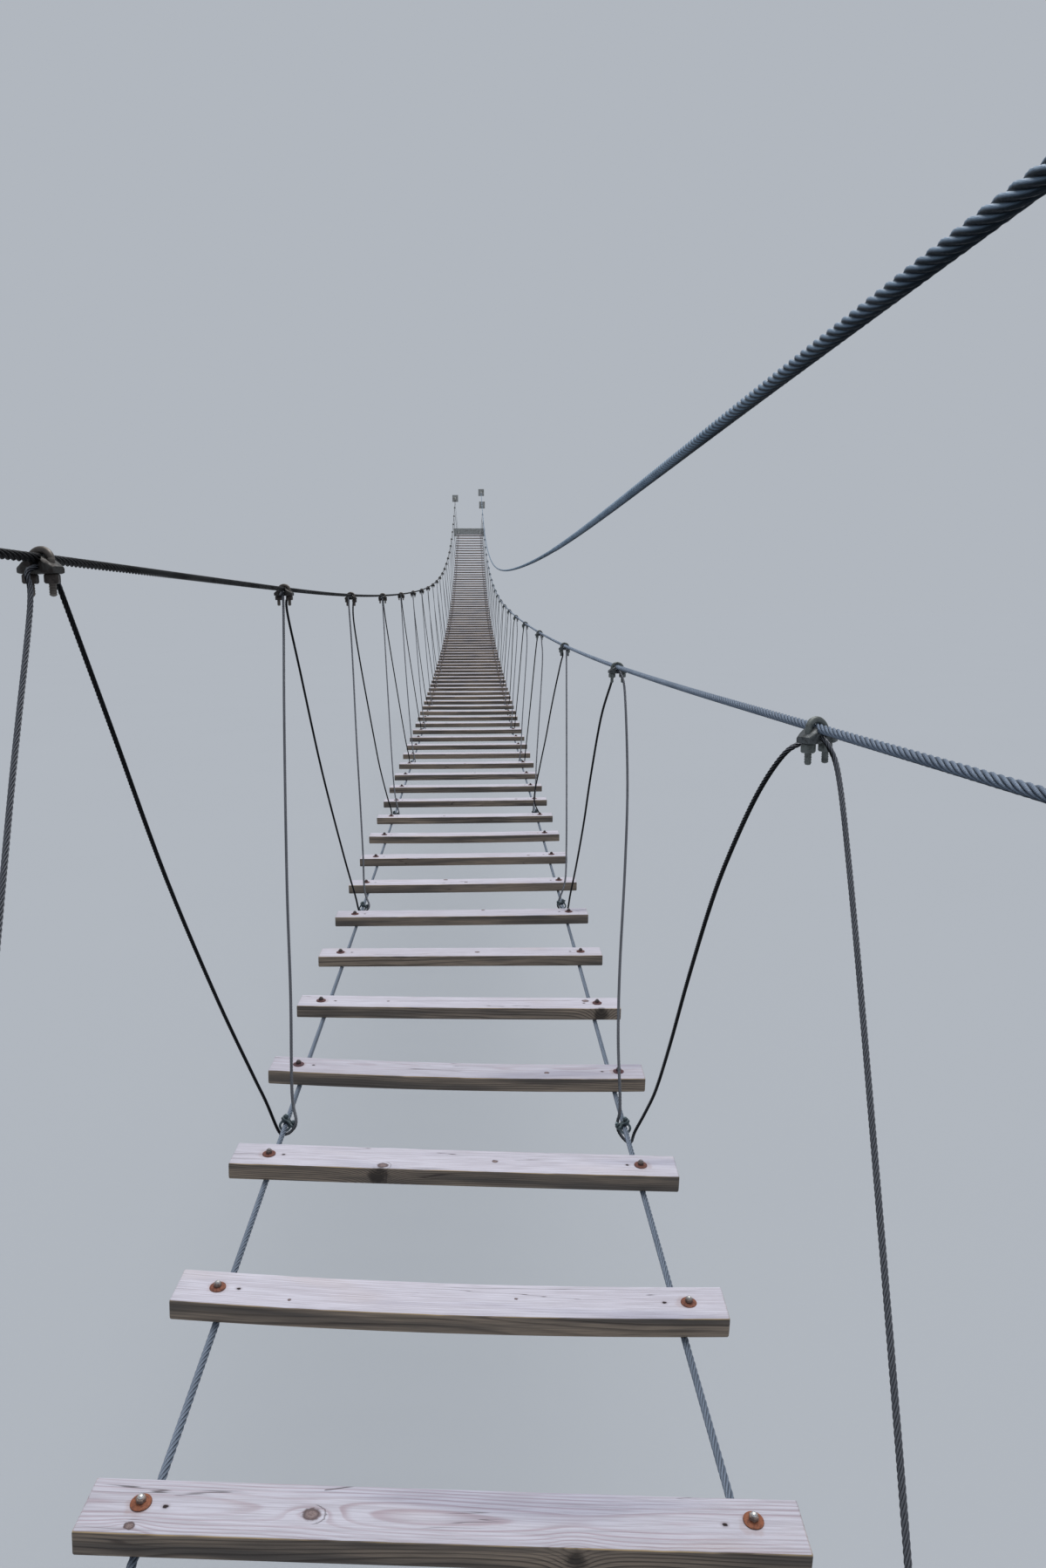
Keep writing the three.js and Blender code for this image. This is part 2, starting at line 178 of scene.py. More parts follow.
camera_data = bpy.data.cameras.new("camera")
camera = bpy.data.objects.new("camera", camera_data)
bpy.context.scene.collection.objects.link(camera)
bpy.context.scene.camera = camera
camera_data.lens = LENS
camera_data.sensor_width = SENSOR
camera_data.clip_start, camera_data.clip_end = 0.01, 300
camera.location = (CAMERA_X, CAMERA_Y, tread_frame(TREAD_BELOW_CAMERA)[0][2] + CAMERA_ABOVE_TREAD)
camera.rotation_mode = "XYZ"
aim = Euler((math.radians(90 - CAMERA_PITCH), 0, math.radians(-CAMERA_YAW))).to_matrix()
camera.rotation_euler = (aim @ Matrix.Rotation(math.radians(CAMERA_ROLL), 3, "Z")).to_euler()


# Meshes

VECTORS = ("plank", "grain", "knot_a", "knot_b", "stain", "crack_a", "crack_b")


class Build:
    """Collects faces of one piece, with a UV place for each corner and values for each point."""

    def __init__(self):
        self.points, self.loops, self.sizes, self.uvs = [], [], [], []
        self.material, self.smooth, self.values = [], [], {}
        self.count = 0

    def add(self, points, *face_sets, uvs=None, material=0, smooth=True, **values):
        """Points and the faces between them, one array of faces for each number of corners."""
        points = np.asarray(points, float).reshape(-1, 3)
        self.points.append(points)
        for faces in face_sets:
            self.loops.append((faces + self.count).ravel())
            self.sizes.append(np.full(len(faces), faces.shape[1]))
            self.uvs.append(np.zeros((faces.size, 2)) if uvs is None else uvs.reshape(-1, 2))
            self.material.append(np.full(len(faces), material))
            self.smooth.append(np.full(len(faces), smooth))
        for name in {**self.values, **values}:
            width = 3 if name in VECTORS else 1
            have = self.values.setdefault(name, [np.zeros((self.count, width))])
            value = np.asarray(values.get(name, 0.0), float)
            have.append(np.broadcast_to(value.reshape(-1, width) if value.ndim else value, (len(points), width)))
        self.count += len(points)

    def piece(self, name, slot, materials, nodes=(), sharp=None):
        mesh = bpy.data.meshes.new(name)
        points, loops, sizes = np.vstack(self.points), np.concatenate(self.loops), np.concatenate(self.sizes)
        mesh.vertices.add(len(points))
        mesh.loops.add(len(loops))
        mesh.polygons.add(len(sizes))
        mesh.vertices.foreach_set("co", points.ravel())
        mesh.loops.foreach_set("vertex_index", loops)
        for field, value in (("loop_start", np.concatenate([[0], np.cumsum(sizes)[:-1]])), ("loop_total", sizes),
                             ("material_index", np.concatenate(self.material)),
                             ("use_smooth", np.concatenate(self.smooth))):
            mesh.polygons.foreach_set(field, value)
        mesh.uv_layers.new(name="UVMap").data.foreach_set("uv", np.vstack(self.uvs).ravel())
        for key, parts in self.values.items():
            kind, field = ("FLOAT_VECTOR", "vector") if key in VECTORS else ("FLOAT", "value")
            mesh.attributes.new(key, kind, "POINT").data.foreach_set(field, np.vstack(parts).ravel())
        mesh.update(calc_edges=True)
        if sharp is not None:
            mesh.set_sharp_from_angle(angle=math.radians(sharp))
        for material in materials:
            mesh.materials.append(material)
        made = bpy.data.objects.new(name, mesh)
        bpy.context.scene.collection.objects.link(made)
        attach(made, "root")
        if nodes:
            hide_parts(*nodes)


def grid_faces(rings, around):
    """Quads between rings of points, each ring "around" points long."""
    i = np.arange(rings - 1)[:, None] * around
    j = np.arange(around)[None, :]
    k = (j + 1) % around
    return np.stack([i + j, i + k, i + around + k, i + around + j], axis=-1).reshape(-1, 4)


def place(points, at, axes):
    return np.asarray(at) + np.asarray(points) @ np.asarray(axes).T


def fan(ring, centre):
    """Triangles from a ring of point numbers to a centre point."""
    return np.stack([ring, np.roll(ring, -1), np.full(len(ring), centre)], axis=-1)


def loft(build, rings, at, axes, ends=None, **values):
    """A closed form through rings of points, closed at two end points or at the middles of its end rings."""
    rings = np.asarray(rings, float)
    count, around = rings.shape[:2]
    if ends is None:
        ends = rings[0].mean(0), rings[-1].mean(0)
    ring, total = np.arange(around), count * around
    build.add(place(np.vstack([rings.reshape(-1, 3), ends]), at, axes), grid_faces(count, around),
              fan(ring[::-1], total), fan(ring + total - around, total + 1), **values)


def turned(build, outline, sides, at, axes, phase=0.0, **values):
    """A closed form turned about z from (radius, z) pairs; its first and last points lie on the axis."""
    angles = phase + np.arange(sides) * 2 * math.pi / sides
    rings = [np.column_stack([r * np.cos(angles), r * np.sin(angles), np.full(sides, z)]) for r, z in outline[1:-1]]
    loft(build, rings, at, axes, [(0, 0, outline[0][1]), (0, 0, outline[-1][1])], **values)


def caps(rings):
    """Points and faces of the two flat ends of a form through rings of points."""
    ring = np.arange(rings.shape[1])
    for end, order in ((rings[0], ring[::-1]), (rings[-1], ring)):
        yield np.vstack([end, end.mean(0)]), fan(order, len(ring))


def arc(x, y, radius, start, end, steps):
    """Points of an arc about x, y between two angles in degrees."""
    angles = np.radians(np.linspace(start, end, steps + 1))
    return np.column_stack([x + radius * np.cos(angles), y + radius * np.sin(angles)])


def smooth_line(points, per):
    """A Catmull-Rom curve through the points, with "per" steps between two of them."""
    points = np.asarray(points, float)
    ends = np.vstack([2 * points[0] - points[1], points, 2 * points[-1] - points[-2]])
    t = (np.arange(per) / per)[:, None]
    made = [0.5 * (2 * b + (c - a) * t + (2 * a - 5 * b + 4 * c - d) * t ** 2 + (3 * b - a - 3 * c + d) * t ** 3)
            for a, b, c, d in zip(ends, ends[1:], ends[2:], ends[3:])]
    return np.vstack([*made, points[-1:]])


def spaced(line, spacing):
    """The same line with points at about equal spacing, and their distances from its start."""
    steps = np.linalg.norm(np.diff(line, axis=0), axis=1)
    run = np.concatenate([[0], np.cumsum(steps)])
    at = np.linspace(0, run[-1], max(2, int(round(run[-1] / spacing)) + 1))
    return np.column_stack([np.interp(at, run, line[:, i]) for i in range(3)]), at


def carried_frames(line):
    """Side, up and tangent of each point of a line, carried along it without twist."""
    tangents = np.gradient(line, axis=0)
    tangents /= np.linalg.norm(tangents, axis=1)[:, None]
    side = np.cross(tangents[0], [0.3, 0.1, 1.0] if abs(tangents[0][2]) < 0.9 else [1.0, 0, 0])
    sides = np.zeros_like(line)
    for i, t in enumerate(tangents):
        side = unit(side - t * side.dot(t))
        sides[i] = side
    return sides, np.cross(tangents, sides), tangents


def strand_outline(crowns):
    """Angle, radius and place in the strand, at the start and end of each face, of the points round a rope
    of diameter 1. "crowns" are the angles in degrees of the points on each strand."""
    share = math.sin(math.pi / STRANDS)
    middle, reach = 0.5 / (1 + share), 0.5 * share / (1 + share)
    x, y = arc(middle, 0, reach, crowns[0], crowns[-1], len(crowns) - 1).T
    angle = np.append(np.arctan2(y, x), math.pi / STRANDS)
    radius = np.append(np.hypot(x, y), middle * math.cos(math.pi / STRANDS) + 0.01)
    strand, on_strand = np.arange(STRANDS)[:, None], 0.5 + np.array(crowns) / 360
    start = (strand + np.append(on_strand, 1 + 1 / 6)).ravel()
    end = np.roll((strand + np.append(on_strand, 1 - 1 / 6)).ravel(), -1)
    end[-1] += STRANDS
    return (strand * 2 * math.pi / STRANDS + angle).ravel(), np.tile(radius, STRANDS), start, end


# Outlines of ropes, and how many rings of points they have for one turn of a strand
FINE = (strand_outline((-80, -40, 0, 40, 80)), 14)
MEDIUM = (strand_outline((-60, 0, 60)), 11)
MID = (strand_outline((-45, 45)), 8)
PLAIN_SIDES, PLAIN_SPACING, PLAIN_RADIUS = 8, 0.076, 0.475
PLAIN_SHARE = np.arange(PLAIN_SIDES + 1) / PLAIN_SIDES
PLAIN = (PLAIN_SHARE[:-1] * 2 * math.pi, np.full(PLAIN_SIDES, PLAIN_RADIUS),
         PLAIN_SHARE[:-1] * STRANDS, PLAIN_SHARE[1:] * STRANDS)


def rope(build, line, diameter, lay, detail, start=0.0, spacing=PLAIN_SPACING):
    """A rope along a line: laid strands where detail is given, or else a round bar. Returns its end."""
    turn_length = lay * diameter
    (angle, radius, u0, u1), rings_a_turn = detail or (PLAIN, None)
    line, run = spaced(line, turn_length / rings_a_turn if detail else spacing)
    run = start + run
    turns = run / turn_length
    twist, slip = (turns * 2 * math.pi, turns * 0) if detail else (turns * 0, turns * STRANDS)
    sides, ups, _ = carried_frames(line)
    turn = (angle + twist[:, None])[..., None]
    points = line[:, None] + radius[:, None] * diameter * (np.cos(turn) * sides[:, None] + np.sin(turn) * ups[:, None])
    uv = np.empty((len(line) - 1, len(angle), 4, 2))
    uv[..., 0] = np.stack([u0, u1, u1, u0], axis=-1)
    for corners, rings in ((slice(0, 2), slice(None, -1)), (slice(2, 4), slice(1, None))):
        uv[:, :, corners, 0] -= slip[rings, None, None]
        uv[:, :, corners, 1] = run[rings, None, None] / diameter
    build.add(points, grid_faces(*points.shape[:2]), uvs=uv, material=0 if detail else 1)
    for cap, faces in caps(points):
        build.add(cap, faces, material=1, smooth=False)
    return run[-1]


def zoned_rope(build, line, diameter, lay, zones):
    """A rope in stretches: (y where the stretch ends, detail)."""
    start, low, y = 0.0, -1.0, line[:, 1]

    def cut(at):
        return [[np.interp(at, y, line[:, i]) for i in range(3)]] if y[0] < at < y[-1] else np.empty((0, 3))

    for end, detail in zones:
        stretch = np.vstack([cut(low), line[(y > low) & (y < end)], cut(end)])
        start = rope(build, stretch, diameter, lay, detail, start)
        low = end


# Materials

def operator(operation, swapped=False):
    def result(self, other):
        return self.nodes.math(operation, *((other, self) if swapped else (self, other)))
    return result


class Value:
    """An output of a material's nodes, which can be written in sums."""

    def __init__(self, nodes, socket):
        self.nodes, self.socket = nodes, socket

    __add__, __sub__, __mul__, __truediv__ = map(operator, ("ADD", "SUBTRACT", "MULTIPLY", "DIVIDE"))
    __rsub__ = operator("SUBTRACT", swapped=True)

    def __abs__(self):
        return self.nodes.math("ABSOLUTE", self)


class Nodes:
    """A short way to write a node material."""

    def __init__(self, name, roughness, metallic=0.0, specular=0.5):
        self.material = bpy.data.materials.new(name)
        self.material.use_nodes = True
        self.tree = self.material.node_tree
        self.shader = self.tree.nodes["Principled BSDF"].inputs
        self.shader["Roughness"].default_value = roughness
        self.shader["Metallic"].default_value = metallic
        self.shader["Specular IOR Level"].default_value = specular

    def node(self, kind, out=0, inputs=None, **settings):
        made = self.tree.nodes.new("ShaderNode" + kind)
        for key, value in settings.items():
            setattr(made, key, value)
        for key, value in (inputs or {}).items():
            self.put(made.inputs[key], value)
        return Value(self, made.outputs[out])

    def put(self, socket, value):
        if isinstance(value, Value):
            self.tree.links.new(value.socket, socket)
        else:
            socket.default_value = (*value, 1) if socket.type == "RGBA" else value

    def math(self, operation, *values):
        return self.node("Math", inputs=dict(enumerate(values)), operation=operation)

    def noise(self, vector, scale, detail=3.0, roughness=0.5):
        return self.node("TexNoise", inputs={
            "Vector": vector, "Scale": scale, "Detail": detail, "Roughness": roughness, "Distortion": 0.0})

    def ramp(self, value, low, high, to_low=0.0, to_high=1.0):
        return self.node("MapRange", inputs={
            "Value": value, "From Min": low, "From Max": high, "To Min": to_low, "To Max": to_high},
            interpolation_type="SMOOTHSTEP")

    def mix(self, factor, a, b, blend="MIX"):
        return self.node("Mix", "Result", {"Factor": factor, "A": a, "B": b}, data_type="RGBA", blend_type=blend)

    def attribute(self, name):
        return self.node("Attribute", "Vector" if name in VECTORS else "Fac", attribute_name=name)

    def xyz(self, vector):
        made = self.node("SeparateXYZ", inputs={0: vector}).socket.node
        return [Value(self, socket) for socket in made.outputs]

    def object_place(self):
        return self.node("TexCoord", "Object")

    def finish(self, colour, roughness=None, height=None, distance=0.0, strength=0.0, metallic=None):
        self.put(self.shader["Base Color"], colour)
        if roughness is not None:
            self.put(self.shader["Roughness"], roughness)
        if metallic is not None:
            self.put(self.shader["Metallic"], metallic)
        if height is not None:
            bump = self.node("Bump", inputs={"Height": height, "Distance": distance, "Strength": strength})
            self.put(self.shader["Normal"], bump)
        return self.material


def darker(colour, share):
    return tuple(tone * share for tone in colour)


def rope_material(name, crown, valley, dirt, under, along=(4.6, 6.0, 0.0, 0.0), far=False):
    """Wire rope: single wires on each strand, bright crowns, patches of dirt, and painted shade: dark in the valleys
    between strands and wires, and darker on the side that faces down.
    "under" is the height of the surface's direction at which the painted shade below starts and ends, and how dense it
    is.
    "along" moves both heights between two places along the bridge: from y, to y, and how far at each.
    A far rope is a plain bar, so its strands are drawn by the relief."""
    n = Nodes(name + ("_far" if far else ""), roughness=0.5, metallic=0.4, specular=0.25)
    u, v, _ = n.xyz(n.node("UVMap"))
    ridge = n.math("FRACT", u * WIRES + v * (WIRES / WIRE_LAY)) * 2.0 - 1.0
    ridge = n.math("SQRT", 1.02 - ridge * ridge)
    off = abs(n.math("FRACT", u) - 0.5)
    place_ = n.object_place()
    patch = n.ramp(n.noise(place_, 14.0, 4.0), 0.42, 0.68)
    fine = n.noise(place_, 900.0, 2.0)
    # Painted shade: the valleys between the strands take the dark valley colour, wider on the far plain bars
    colour = n.mix(n.ramp(off, 0.12, 0.5 if far else 0.33) * 0.9, crown, valley)
    colour = n.mix(patch * 0.4, colour, dirt)
    # Painted shade in the grooves between single wires
    colour = n.mix(n.ramp(ridge, 0.85, 0.35, 0.0, 0.6), colour, valley)
    colour = n.mix(n.ramp(fine, 0.3, 0.8, 0.0, 0.25), colour, crown)
    # Painted shade: darker colour and weaker specular on the side that faces down, more so at some places along the
    # bridge
    facing = n.xyz(n.node("NewGeometry", "Normal"))[2] + n.ramp(n.xyz(place_)[1], *along)
    colour = n.mix(n.ramp(facing, under[1], under[0], 0.0, under[2]), colour, darker(valley, 0.12))
    n.put(n.shader["Specular IOR Level"], n.ramp(facing, under[0], under[1], 0.03, 0.25))
    rough = patch * 0.15 + n.ramp(fine, 0.3, 0.7, 0.36, 0.5)
    if far:
        bulge = n.math("SQRT", 1.0 - off * off * 3.9)
        return n.finish(colour, rough, bulge + ridge * 0.12, distance=0.0011, strength=0.9)
    return n.finish(colour, rough, ridge, distance=0.00030, strength=0.8)


def rope_materials(*look):
    return [rope_material(*look), rope_material(*look, far=True)]


# After the name: crown, valley and dirt colours, then the painted shade below (start, end, density) and how it moves
# along the bridge
ROPE_BLUE = rope_materials("galvanised_rope", (0.180, 0.233, 0.315), (0.038, 0.050, 0.068), (0.112, 0.142, 0.190),
                           (-1.0, 0.05, 0.85), (4.6, 5.0, -0.42, 0.05))
ROPE_SAFETY = rope_materials("safety_rope", (0.178, 0.265, 0.370), (0.026, 0.042, 0.060), (0.094, 0.146, 0.205),
                             (-0.55, 0.45, 0.95), (4.6, 5.8, -0.10, 0.60))
ROPE_DECK = rope_materials("deck_rope", (0.190, 0.232, 0.300), (0.040, 0.050, 0.066), (0.120, 0.146, 0.182),
                           (-0.6, 0.3, 0.85))
# Left handrail: a much darker copy of the same rope as the right one, painted shade for the left side, with some dirt
# of its own
ROPE_DARK = rope_materials("dirty_rope", (0.0135, 0.0150, 0.0175), (0.002, 0.002, 0.002), (0.007, 0.007, 0.008),
                           (-0.2, 0.8, 0.75))
ROPE_HANGER = rope_materials("hanger_rope", (0.235, 0.245, 0.275), (0.028, 0.030, 0.036), (0.130, 0.138, 0.155),
                             (-0.05, 0.30, 0.93))


def wood_material():
    """Weathered pine: bleached above, brown at the sides, with growth rings, knots, cracks and rust."""
    n = Nodes("weathered_pine", roughness=0.85, specular=0.25)
    x, y, z = n.xyz(n.attribute("plank"))
    pith_y, pith_z, contrast = n.xyz(n.attribute("grain"))
    place_ = n.node("CombineXYZ", inputs={0: x + n.attribute("seed") * SEED_SPREAD, 1: y, 2: z})
    upward = n.xyz(n.node("NewGeometry", "True Normal"))[2]
    top = n.ramp(upward, 0.72, 0.97)

    def stretched(factors, detail=2.0, roughness=0.5):
        scaled = n.node("VectorMath", inputs={0: place_, 1: factors}, operation="MULTIPLY")
        return n.noise(scaled, 1.0, detail, roughness)

    def swing(noise, amount):
        return (noise - 0.5) * amount

    def far_from(px, py):
        return n.math("SQRT", px * px + py * py)

    # Growth rings about a pith that wanders under the board
    dy = y - (pith_y + swing(stretched((2.2, 0.0, 0.0), 1.0), 0.020))
    dz = z - (pith_z + swing(stretched((6.0, 0.0, 0.0), 1.0), 0.0075))
    rings = far_from(dy, dz) + swing(stretched((9.0, 60.0, 60.0), 3.0), 0.0013)
    knot_mask, knot_core, knot_crack = 0.0, 0.0, 0.0
    for name in ("knot_a", "knot_b"):
        knot_x, knot_y, radius = n.xyz(n.attribute(name))
        size = radius + TINY
        kx, ky = (x - knot_x) * 0.8, y - knot_y
        share = (far_from(kx, ky) + swing(n.noise(place_, 330.0, 3.0), 0.0026)) / size
        wide = far_from(kx * 0.45, ky) / size
        rings = rings + n.math("EXPONENT", wide * -0.75) * (size * 1.5)
        knot_mask = n.math("MAXIMUM", knot_mask, n.ramp(share, 1.15, 0.8))
        knot_core = n.math("MAXIMUM", knot_core, n.ramp(share, 0.8, 0.45))
        big = n.ramp(kx, 0.0, 0.004) * n.ramp(radius, 0.0047, 0.0051)
        knot_crack = n.math("MAXIMUM", knot_crack, n.ramp(abs(share - 1.5), 0.12, 0.03) * big * 0.7)
    stain_x, stain_y, radius = n.xyz(n.attribute("stain"))
    blot = far_from(far_from(x - stain_x, y - stain_y), z + TREAD_THICKNESS / 2) / (radius + TINY)
    rings = rings + n.math("EXPONENT", blot * -1.1) * (radius * 1.1)
    stain = n.ramp(blot + swing(n.noise(place_, 95.0, 4.0, 0.65), 0.9), 1.15, 0.62, 0.0, 0.8)
    ring = n.math("FRACT", rings / RING_SPACING)
    late = n.ramp(ring, 0.42, 0.84) * n.ramp(ring, 1.0, 0.86)
    late = late * n.ramp(stretched((6.0, 60.0, 60.0)), 0.3, 0.65, 0.30, 1.0)
    fibre = stretched((22.0, 900.0, 900.0), 4.0, 0.6)

    # Cracks: thin splits along the grain, and a long one where it is given
    split = abs(stretched((4.5, 120.0, 60.0), 2.0, 0.4) - 0.5)
    check = n.ramp(split, 0.010, 0.002) * n.ramp(stretched((7.0, 30.0, 0.0), 1.0), 0.55, 0.64)
    from_x, from_y, to_x = n.xyz(n.attribute("crack_a"))
    to_y, half_width, _ = n.xyz(n.attribute("crack_b"))
    along = (x - from_x) / (to_x - from_x + TINY)
    line_y = n.math("MULTIPLY_ADD", along, to_y - from_y, from_y) + swing(stretched((30.0, 0.0, 0.0), 3.0), 0.0035)
    inside = n.ramp(along, 0.0, 0.06) * n.ramp(along, 1.0, 0.94)
    long_crack = n.ramp(abs(y - line_y) / (half_width + TINY), 1.0, 0.4) * inside * top
    check = n.math("MAXIMUM", check, n.math("MAXIMUM", long_crack, knot_crack))

    # Colours above: bleached, with soft growth lines, tan blushes and grey smudges
    bleached = n.mix(stretched((5.0, 40.0, 40.0), 3.0), (0.488, 0.481, 0.548), (0.578, 0.571, 0.646))
    bleached = n.mix(late * contrast, bleached, (0.60, 0.43, 0.43), "MULTIPLY")
    blush = n.ramp(stretched((9.0, 26.0, 0.0), 1.0), 0.55, 0.75, 0.0, 0.5) * contrast
    bleached = n.mix(blush, bleached, (0.46, 0.36, 0.30))
    bleached = n.mix(n.ramp(fibre, 0.62, 0.36, 0.0, 0.38), bleached, (0.24, 0.21, 0.235))
    smudge = n.ramp(stretched((3.6, 26.0, 0.0), 2.0), 0.55, 0.72, 0.0, 0.5)
    bleached = n.mix(smudge, bleached, (0.62, 0.64, 0.72), "MULTIPLY")
    bleached = n.mix(n.attribute("tone"), bleached, (0.55, 0.54, 0.56), "MULTIPLY")

    # Colours at the sides: brown and dark bands, and a tan edge where the two meet
    bands = n.ramp(stretched((5.0, 75.0, 75.0), 2.0), 0.34, 0.66)
    brown = n.mix(bands, (0.128, 0.110, 0.097), (0.335, 0.265, 0.205))
    brown = n.mix(late * 0.85, brown, (0.060, 0.048, 0.042))
    brown = n.mix(n.ramp(fibre, 0.65, 0.35, 0.0, 0.45), brown, (0.060, 0.055, 0.052))
    colour = n.mix(top, brown, bleached)
    arris = n.ramp(upward, 0.25, 0.6) * n.ramp(upward, 0.97, 0.8)
    arris = arris * n.ramp(stretched((14.0, 10.0, 10.0), 3.0), 0.40, 0.62)
    colour = n.mix(arris, colour, (0.42, 0.31, 0.18))
    speckle = n.ramp(n.noise(place_, 1400.0, 2.0), 0.35, 0.65)
    knot = n.mix(knot_core, (0.070, 0.042, 0.040), n.mix(speckle, (0.100, 0.064, 0.060), (0.200, 0.145, 0.135)))
    colour = n.mix(knot_mask * 0.9, colour, knot)
    colour = n.mix(stain, colour, (0.022, 0.018, 0.017))
    colour = n.mix(check * 0.8, colour, (0.050, 0.038, 0.037))

    # A little rust washed out round the washers, and a nail hole beside each
    side_x = abs(x)
    blot = far_from(side_x - BOLT_OFFSET, y) + swing(n.noise(place_, 190.0, 3.0), 0.007)
    colour = n.mix(n.ramp(blot, 0.0105, 0.0068, 0.0, 0.22) * top, colour, (0.26, 0.13, 0.08))
    nail = far_from((side_x - NAIL_OFFSET) * 0.78, y) + swing(n.noise(place_, 500.0, 2.0), 0.0012)
    hole = n.ramp(nail, 0.0018, 0.0010) * top
    colour = n.mix(n.ramp(nail, 0.0035, 0.0015, 0.0, 0.3) * top, colour, (0.16, 0.11, 0.11))
    colour = n.mix(hole, colour, (0.020, 0.012, 0.012))
    height = late * 0.5 + fibre * 0.35 - check * 2.0 - hole * 3.0
    return n.finish(colour, n.ramp(fibre, 0.3, 0.7, 0.72, 0.92), height, distance=0.0004, strength=0.55)


def bolt_material(name, fresh, dull, roughness, metallic):
    """Rusting steel whose two tones are mixed by the "dull" value of each washer or bolt."""
    n = Nodes(name, roughness, metallic)
    place_ = n.object_place()
    patch, grain = n.noise(place_, 420.0, 4.0, 0.6), n.noise(place_, 3600.0, 2.0)
    amount = n.attribute("dull")
    colour = n.mix(amount, fresh, dull)
    colour = n.mix(n.ramp(patch, 0.42, 0.66, 0.0, 0.6), colour, darker(dull, 0.5))
    colour = n.mix(n.ramp(grain, 0.35, 0.75, 0.0, 0.3), colour, darker(fresh, 0.5))
    rough = n.ramp(patch, 0.3, 0.7, roughness - 0.1, roughness + 0.1) + amount * 0.2
    return n.finish(colour, rough, patch + grain, distance=0.00025, strength=0.4, metallic=(1.0 - amount) * metallic)


def metal_material(name, base, stain, stain_from, stain_to, roughness, metallic, scale, edge=None):
    """Cast or forged metal: two tones in patches, fine grain, and lighter sharp edges where their colour is given,
    which are painted highlight with some real wear.
    """
    n = Nodes(name, roughness, metallic)
    place_ = n.object_place()
    patch, grain = n.noise(place_, scale, 5.0, 0.6), n.noise(place_, scale * 9, 2.0)
    colour = n.mix(n.ramp(patch, stain_from, stain_to), base, stain)
    colour = n.mix(n.ramp(grain, 0.35, 0.75, 0.0, 0.3), colour, darker(base, 0.55))
    if edge is not None:
        # Painted highlight along the sharp edges, with some real wear
        colour = n.mix(n.ramp(n.node("NewGeometry", "Pointiness"), 0.51, 0.58, 0.0, 0.8), colour, edge)
    rough = n.ramp(patch, 0.3, 0.7, roughness - 0.12, roughness + 0.15)
    return n.finish(colour, rough, patch * 0.6 + grain * 0.4, distance=0.0003, strength=0.35)


WOOD = wood_material()
RUST = bolt_material("rusty_washer", (0.235, 0.075, 0.030), (0.084, 0.042, 0.052), 0.75, 0.1)
NUT = bolt_material("nut_steel", (0.26, 0.20, 0.17), (0.045, 0.026, 0.030), 0.55, 0.5)
BOLT = bolt_material("bolt_steel", (0.80, 0.80, 0.78), (0.050, 0.030, 0.034), 0.3, 0.9)
# The left rail's clips and hoops are much darker, browner copies of the right's: painted shade for the left side
CLIP_RAIL = metal_material("clip_forged", (0.036, 0.034, 0.031), (0.024, 0.018, 0.016), 0.45, 0.62, 0.55, 0.4, 240.0,
                           (0.20, 0.19, 0.17))
HOOP_RAIL = metal_material("hoop_forged", (0.040, 0.031, 0.026), (0.022, 0.016, 0.014), 0.42, 0.62, 0.5, 0.4, 240.0,
                           (0.17, 0.15, 0.13))
CLIP_RIGHT = metal_material("clip_forged_right", (0.088, 0.098, 0.102), (0.045, 0.050, 0.050), 0.48, 0.66, 0.5, 0.45,
                            240.0, (0.28, 0.29, 0.29))
HOOP_RIGHT = metal_material("hoop_right", (0.128, 0.143, 0.138), (0.066, 0.074, 0.070), 0.48, 0.68, 0.5, 0.45, 260.0)
CLIP_DECK = metal_material("clip_galvanised", (0.072, 0.100, 0.112), (0.038, 0.050, 0.056), 0.45, 0.65, 0.5, 0.4,
                           260.0, (0.26, 0.33, 0.36))
PLATE = metal_material("anchor_plate", (0.34, 0.35, 0.34), (0.22, 0.20, 0.17), 0.5, 0.7, 0.55, 0.6, 22.0,
                       (0.50, 0.50, 0.49))


# Treads

NOWHERE = (0.9, 0.0, 0.0001)
NO_CRACK = (0.90, 0.0, 0.91, 0.0, 0.0001)
# For the near treads, as the photograph shows them. "grain" is the pith's place across and below the top,
# and the contrast of the lines; knots and stains are x, y and radius; a crack is x, y to x, y and its half width
LOOKS = {
    20: {"grain": (0.001, -0.022, 0.62), "knots": ((-0.092, -0.0023, 0.0052), (-0.211, -0.0160, 0.0032)),
         "stain": (0.0880, -0.0300, 0.0115), "crack": (-0.087, 0.0175, -0.066, 0.0215, 0.0006), "tone": 0.24,
         "bow": 0.0004},
    21: {"grain": (0.05, -0.030, 0.35), "knots": ((-0.144, -0.0110, 0.0014), (0.058, 0.0025, 0.0014)),
         "tone": 0.0, "bow": 0.0038},
    22: {"grain": (-0.04, -0.030, 0.3), "knots": ((-0.0795, -0.0155, 0.0050), (0.044, 0.0, 0.0030)),
         "stain": (-0.084, -0.0290, 0.0135), "crack": (-0.252, -0.001, -0.214, -0.001, 0.0005), "tone": 0.02,
         "bow": 0.0006},
    23: {"grain": (0.01, -0.030, 0.3), "knots": ((0.118, -0.0040, 0.0030), NOWHERE), "tone": 0.34, "bow": 0.0030},
    24: {"grain": (0.03, -0.030, 0.25), "knots": ((0.195, 0.0090, 0.0046), (-0.111, 0.0020, 0.0020)),
         "stain": (0.2175, -0.0300, 0.0150), "crack": (-0.107, 0.002, 0.185, 0.011, 0.0006), "tone": 0.03,
         "bow": 0.0008},
    26: {"grain": (-0.02, -0.026, 0.35), "knots": ((0.041, 0.0170, 0.0030), NOWHERE), "tone": 0.18, "bow": 0.0005},
}


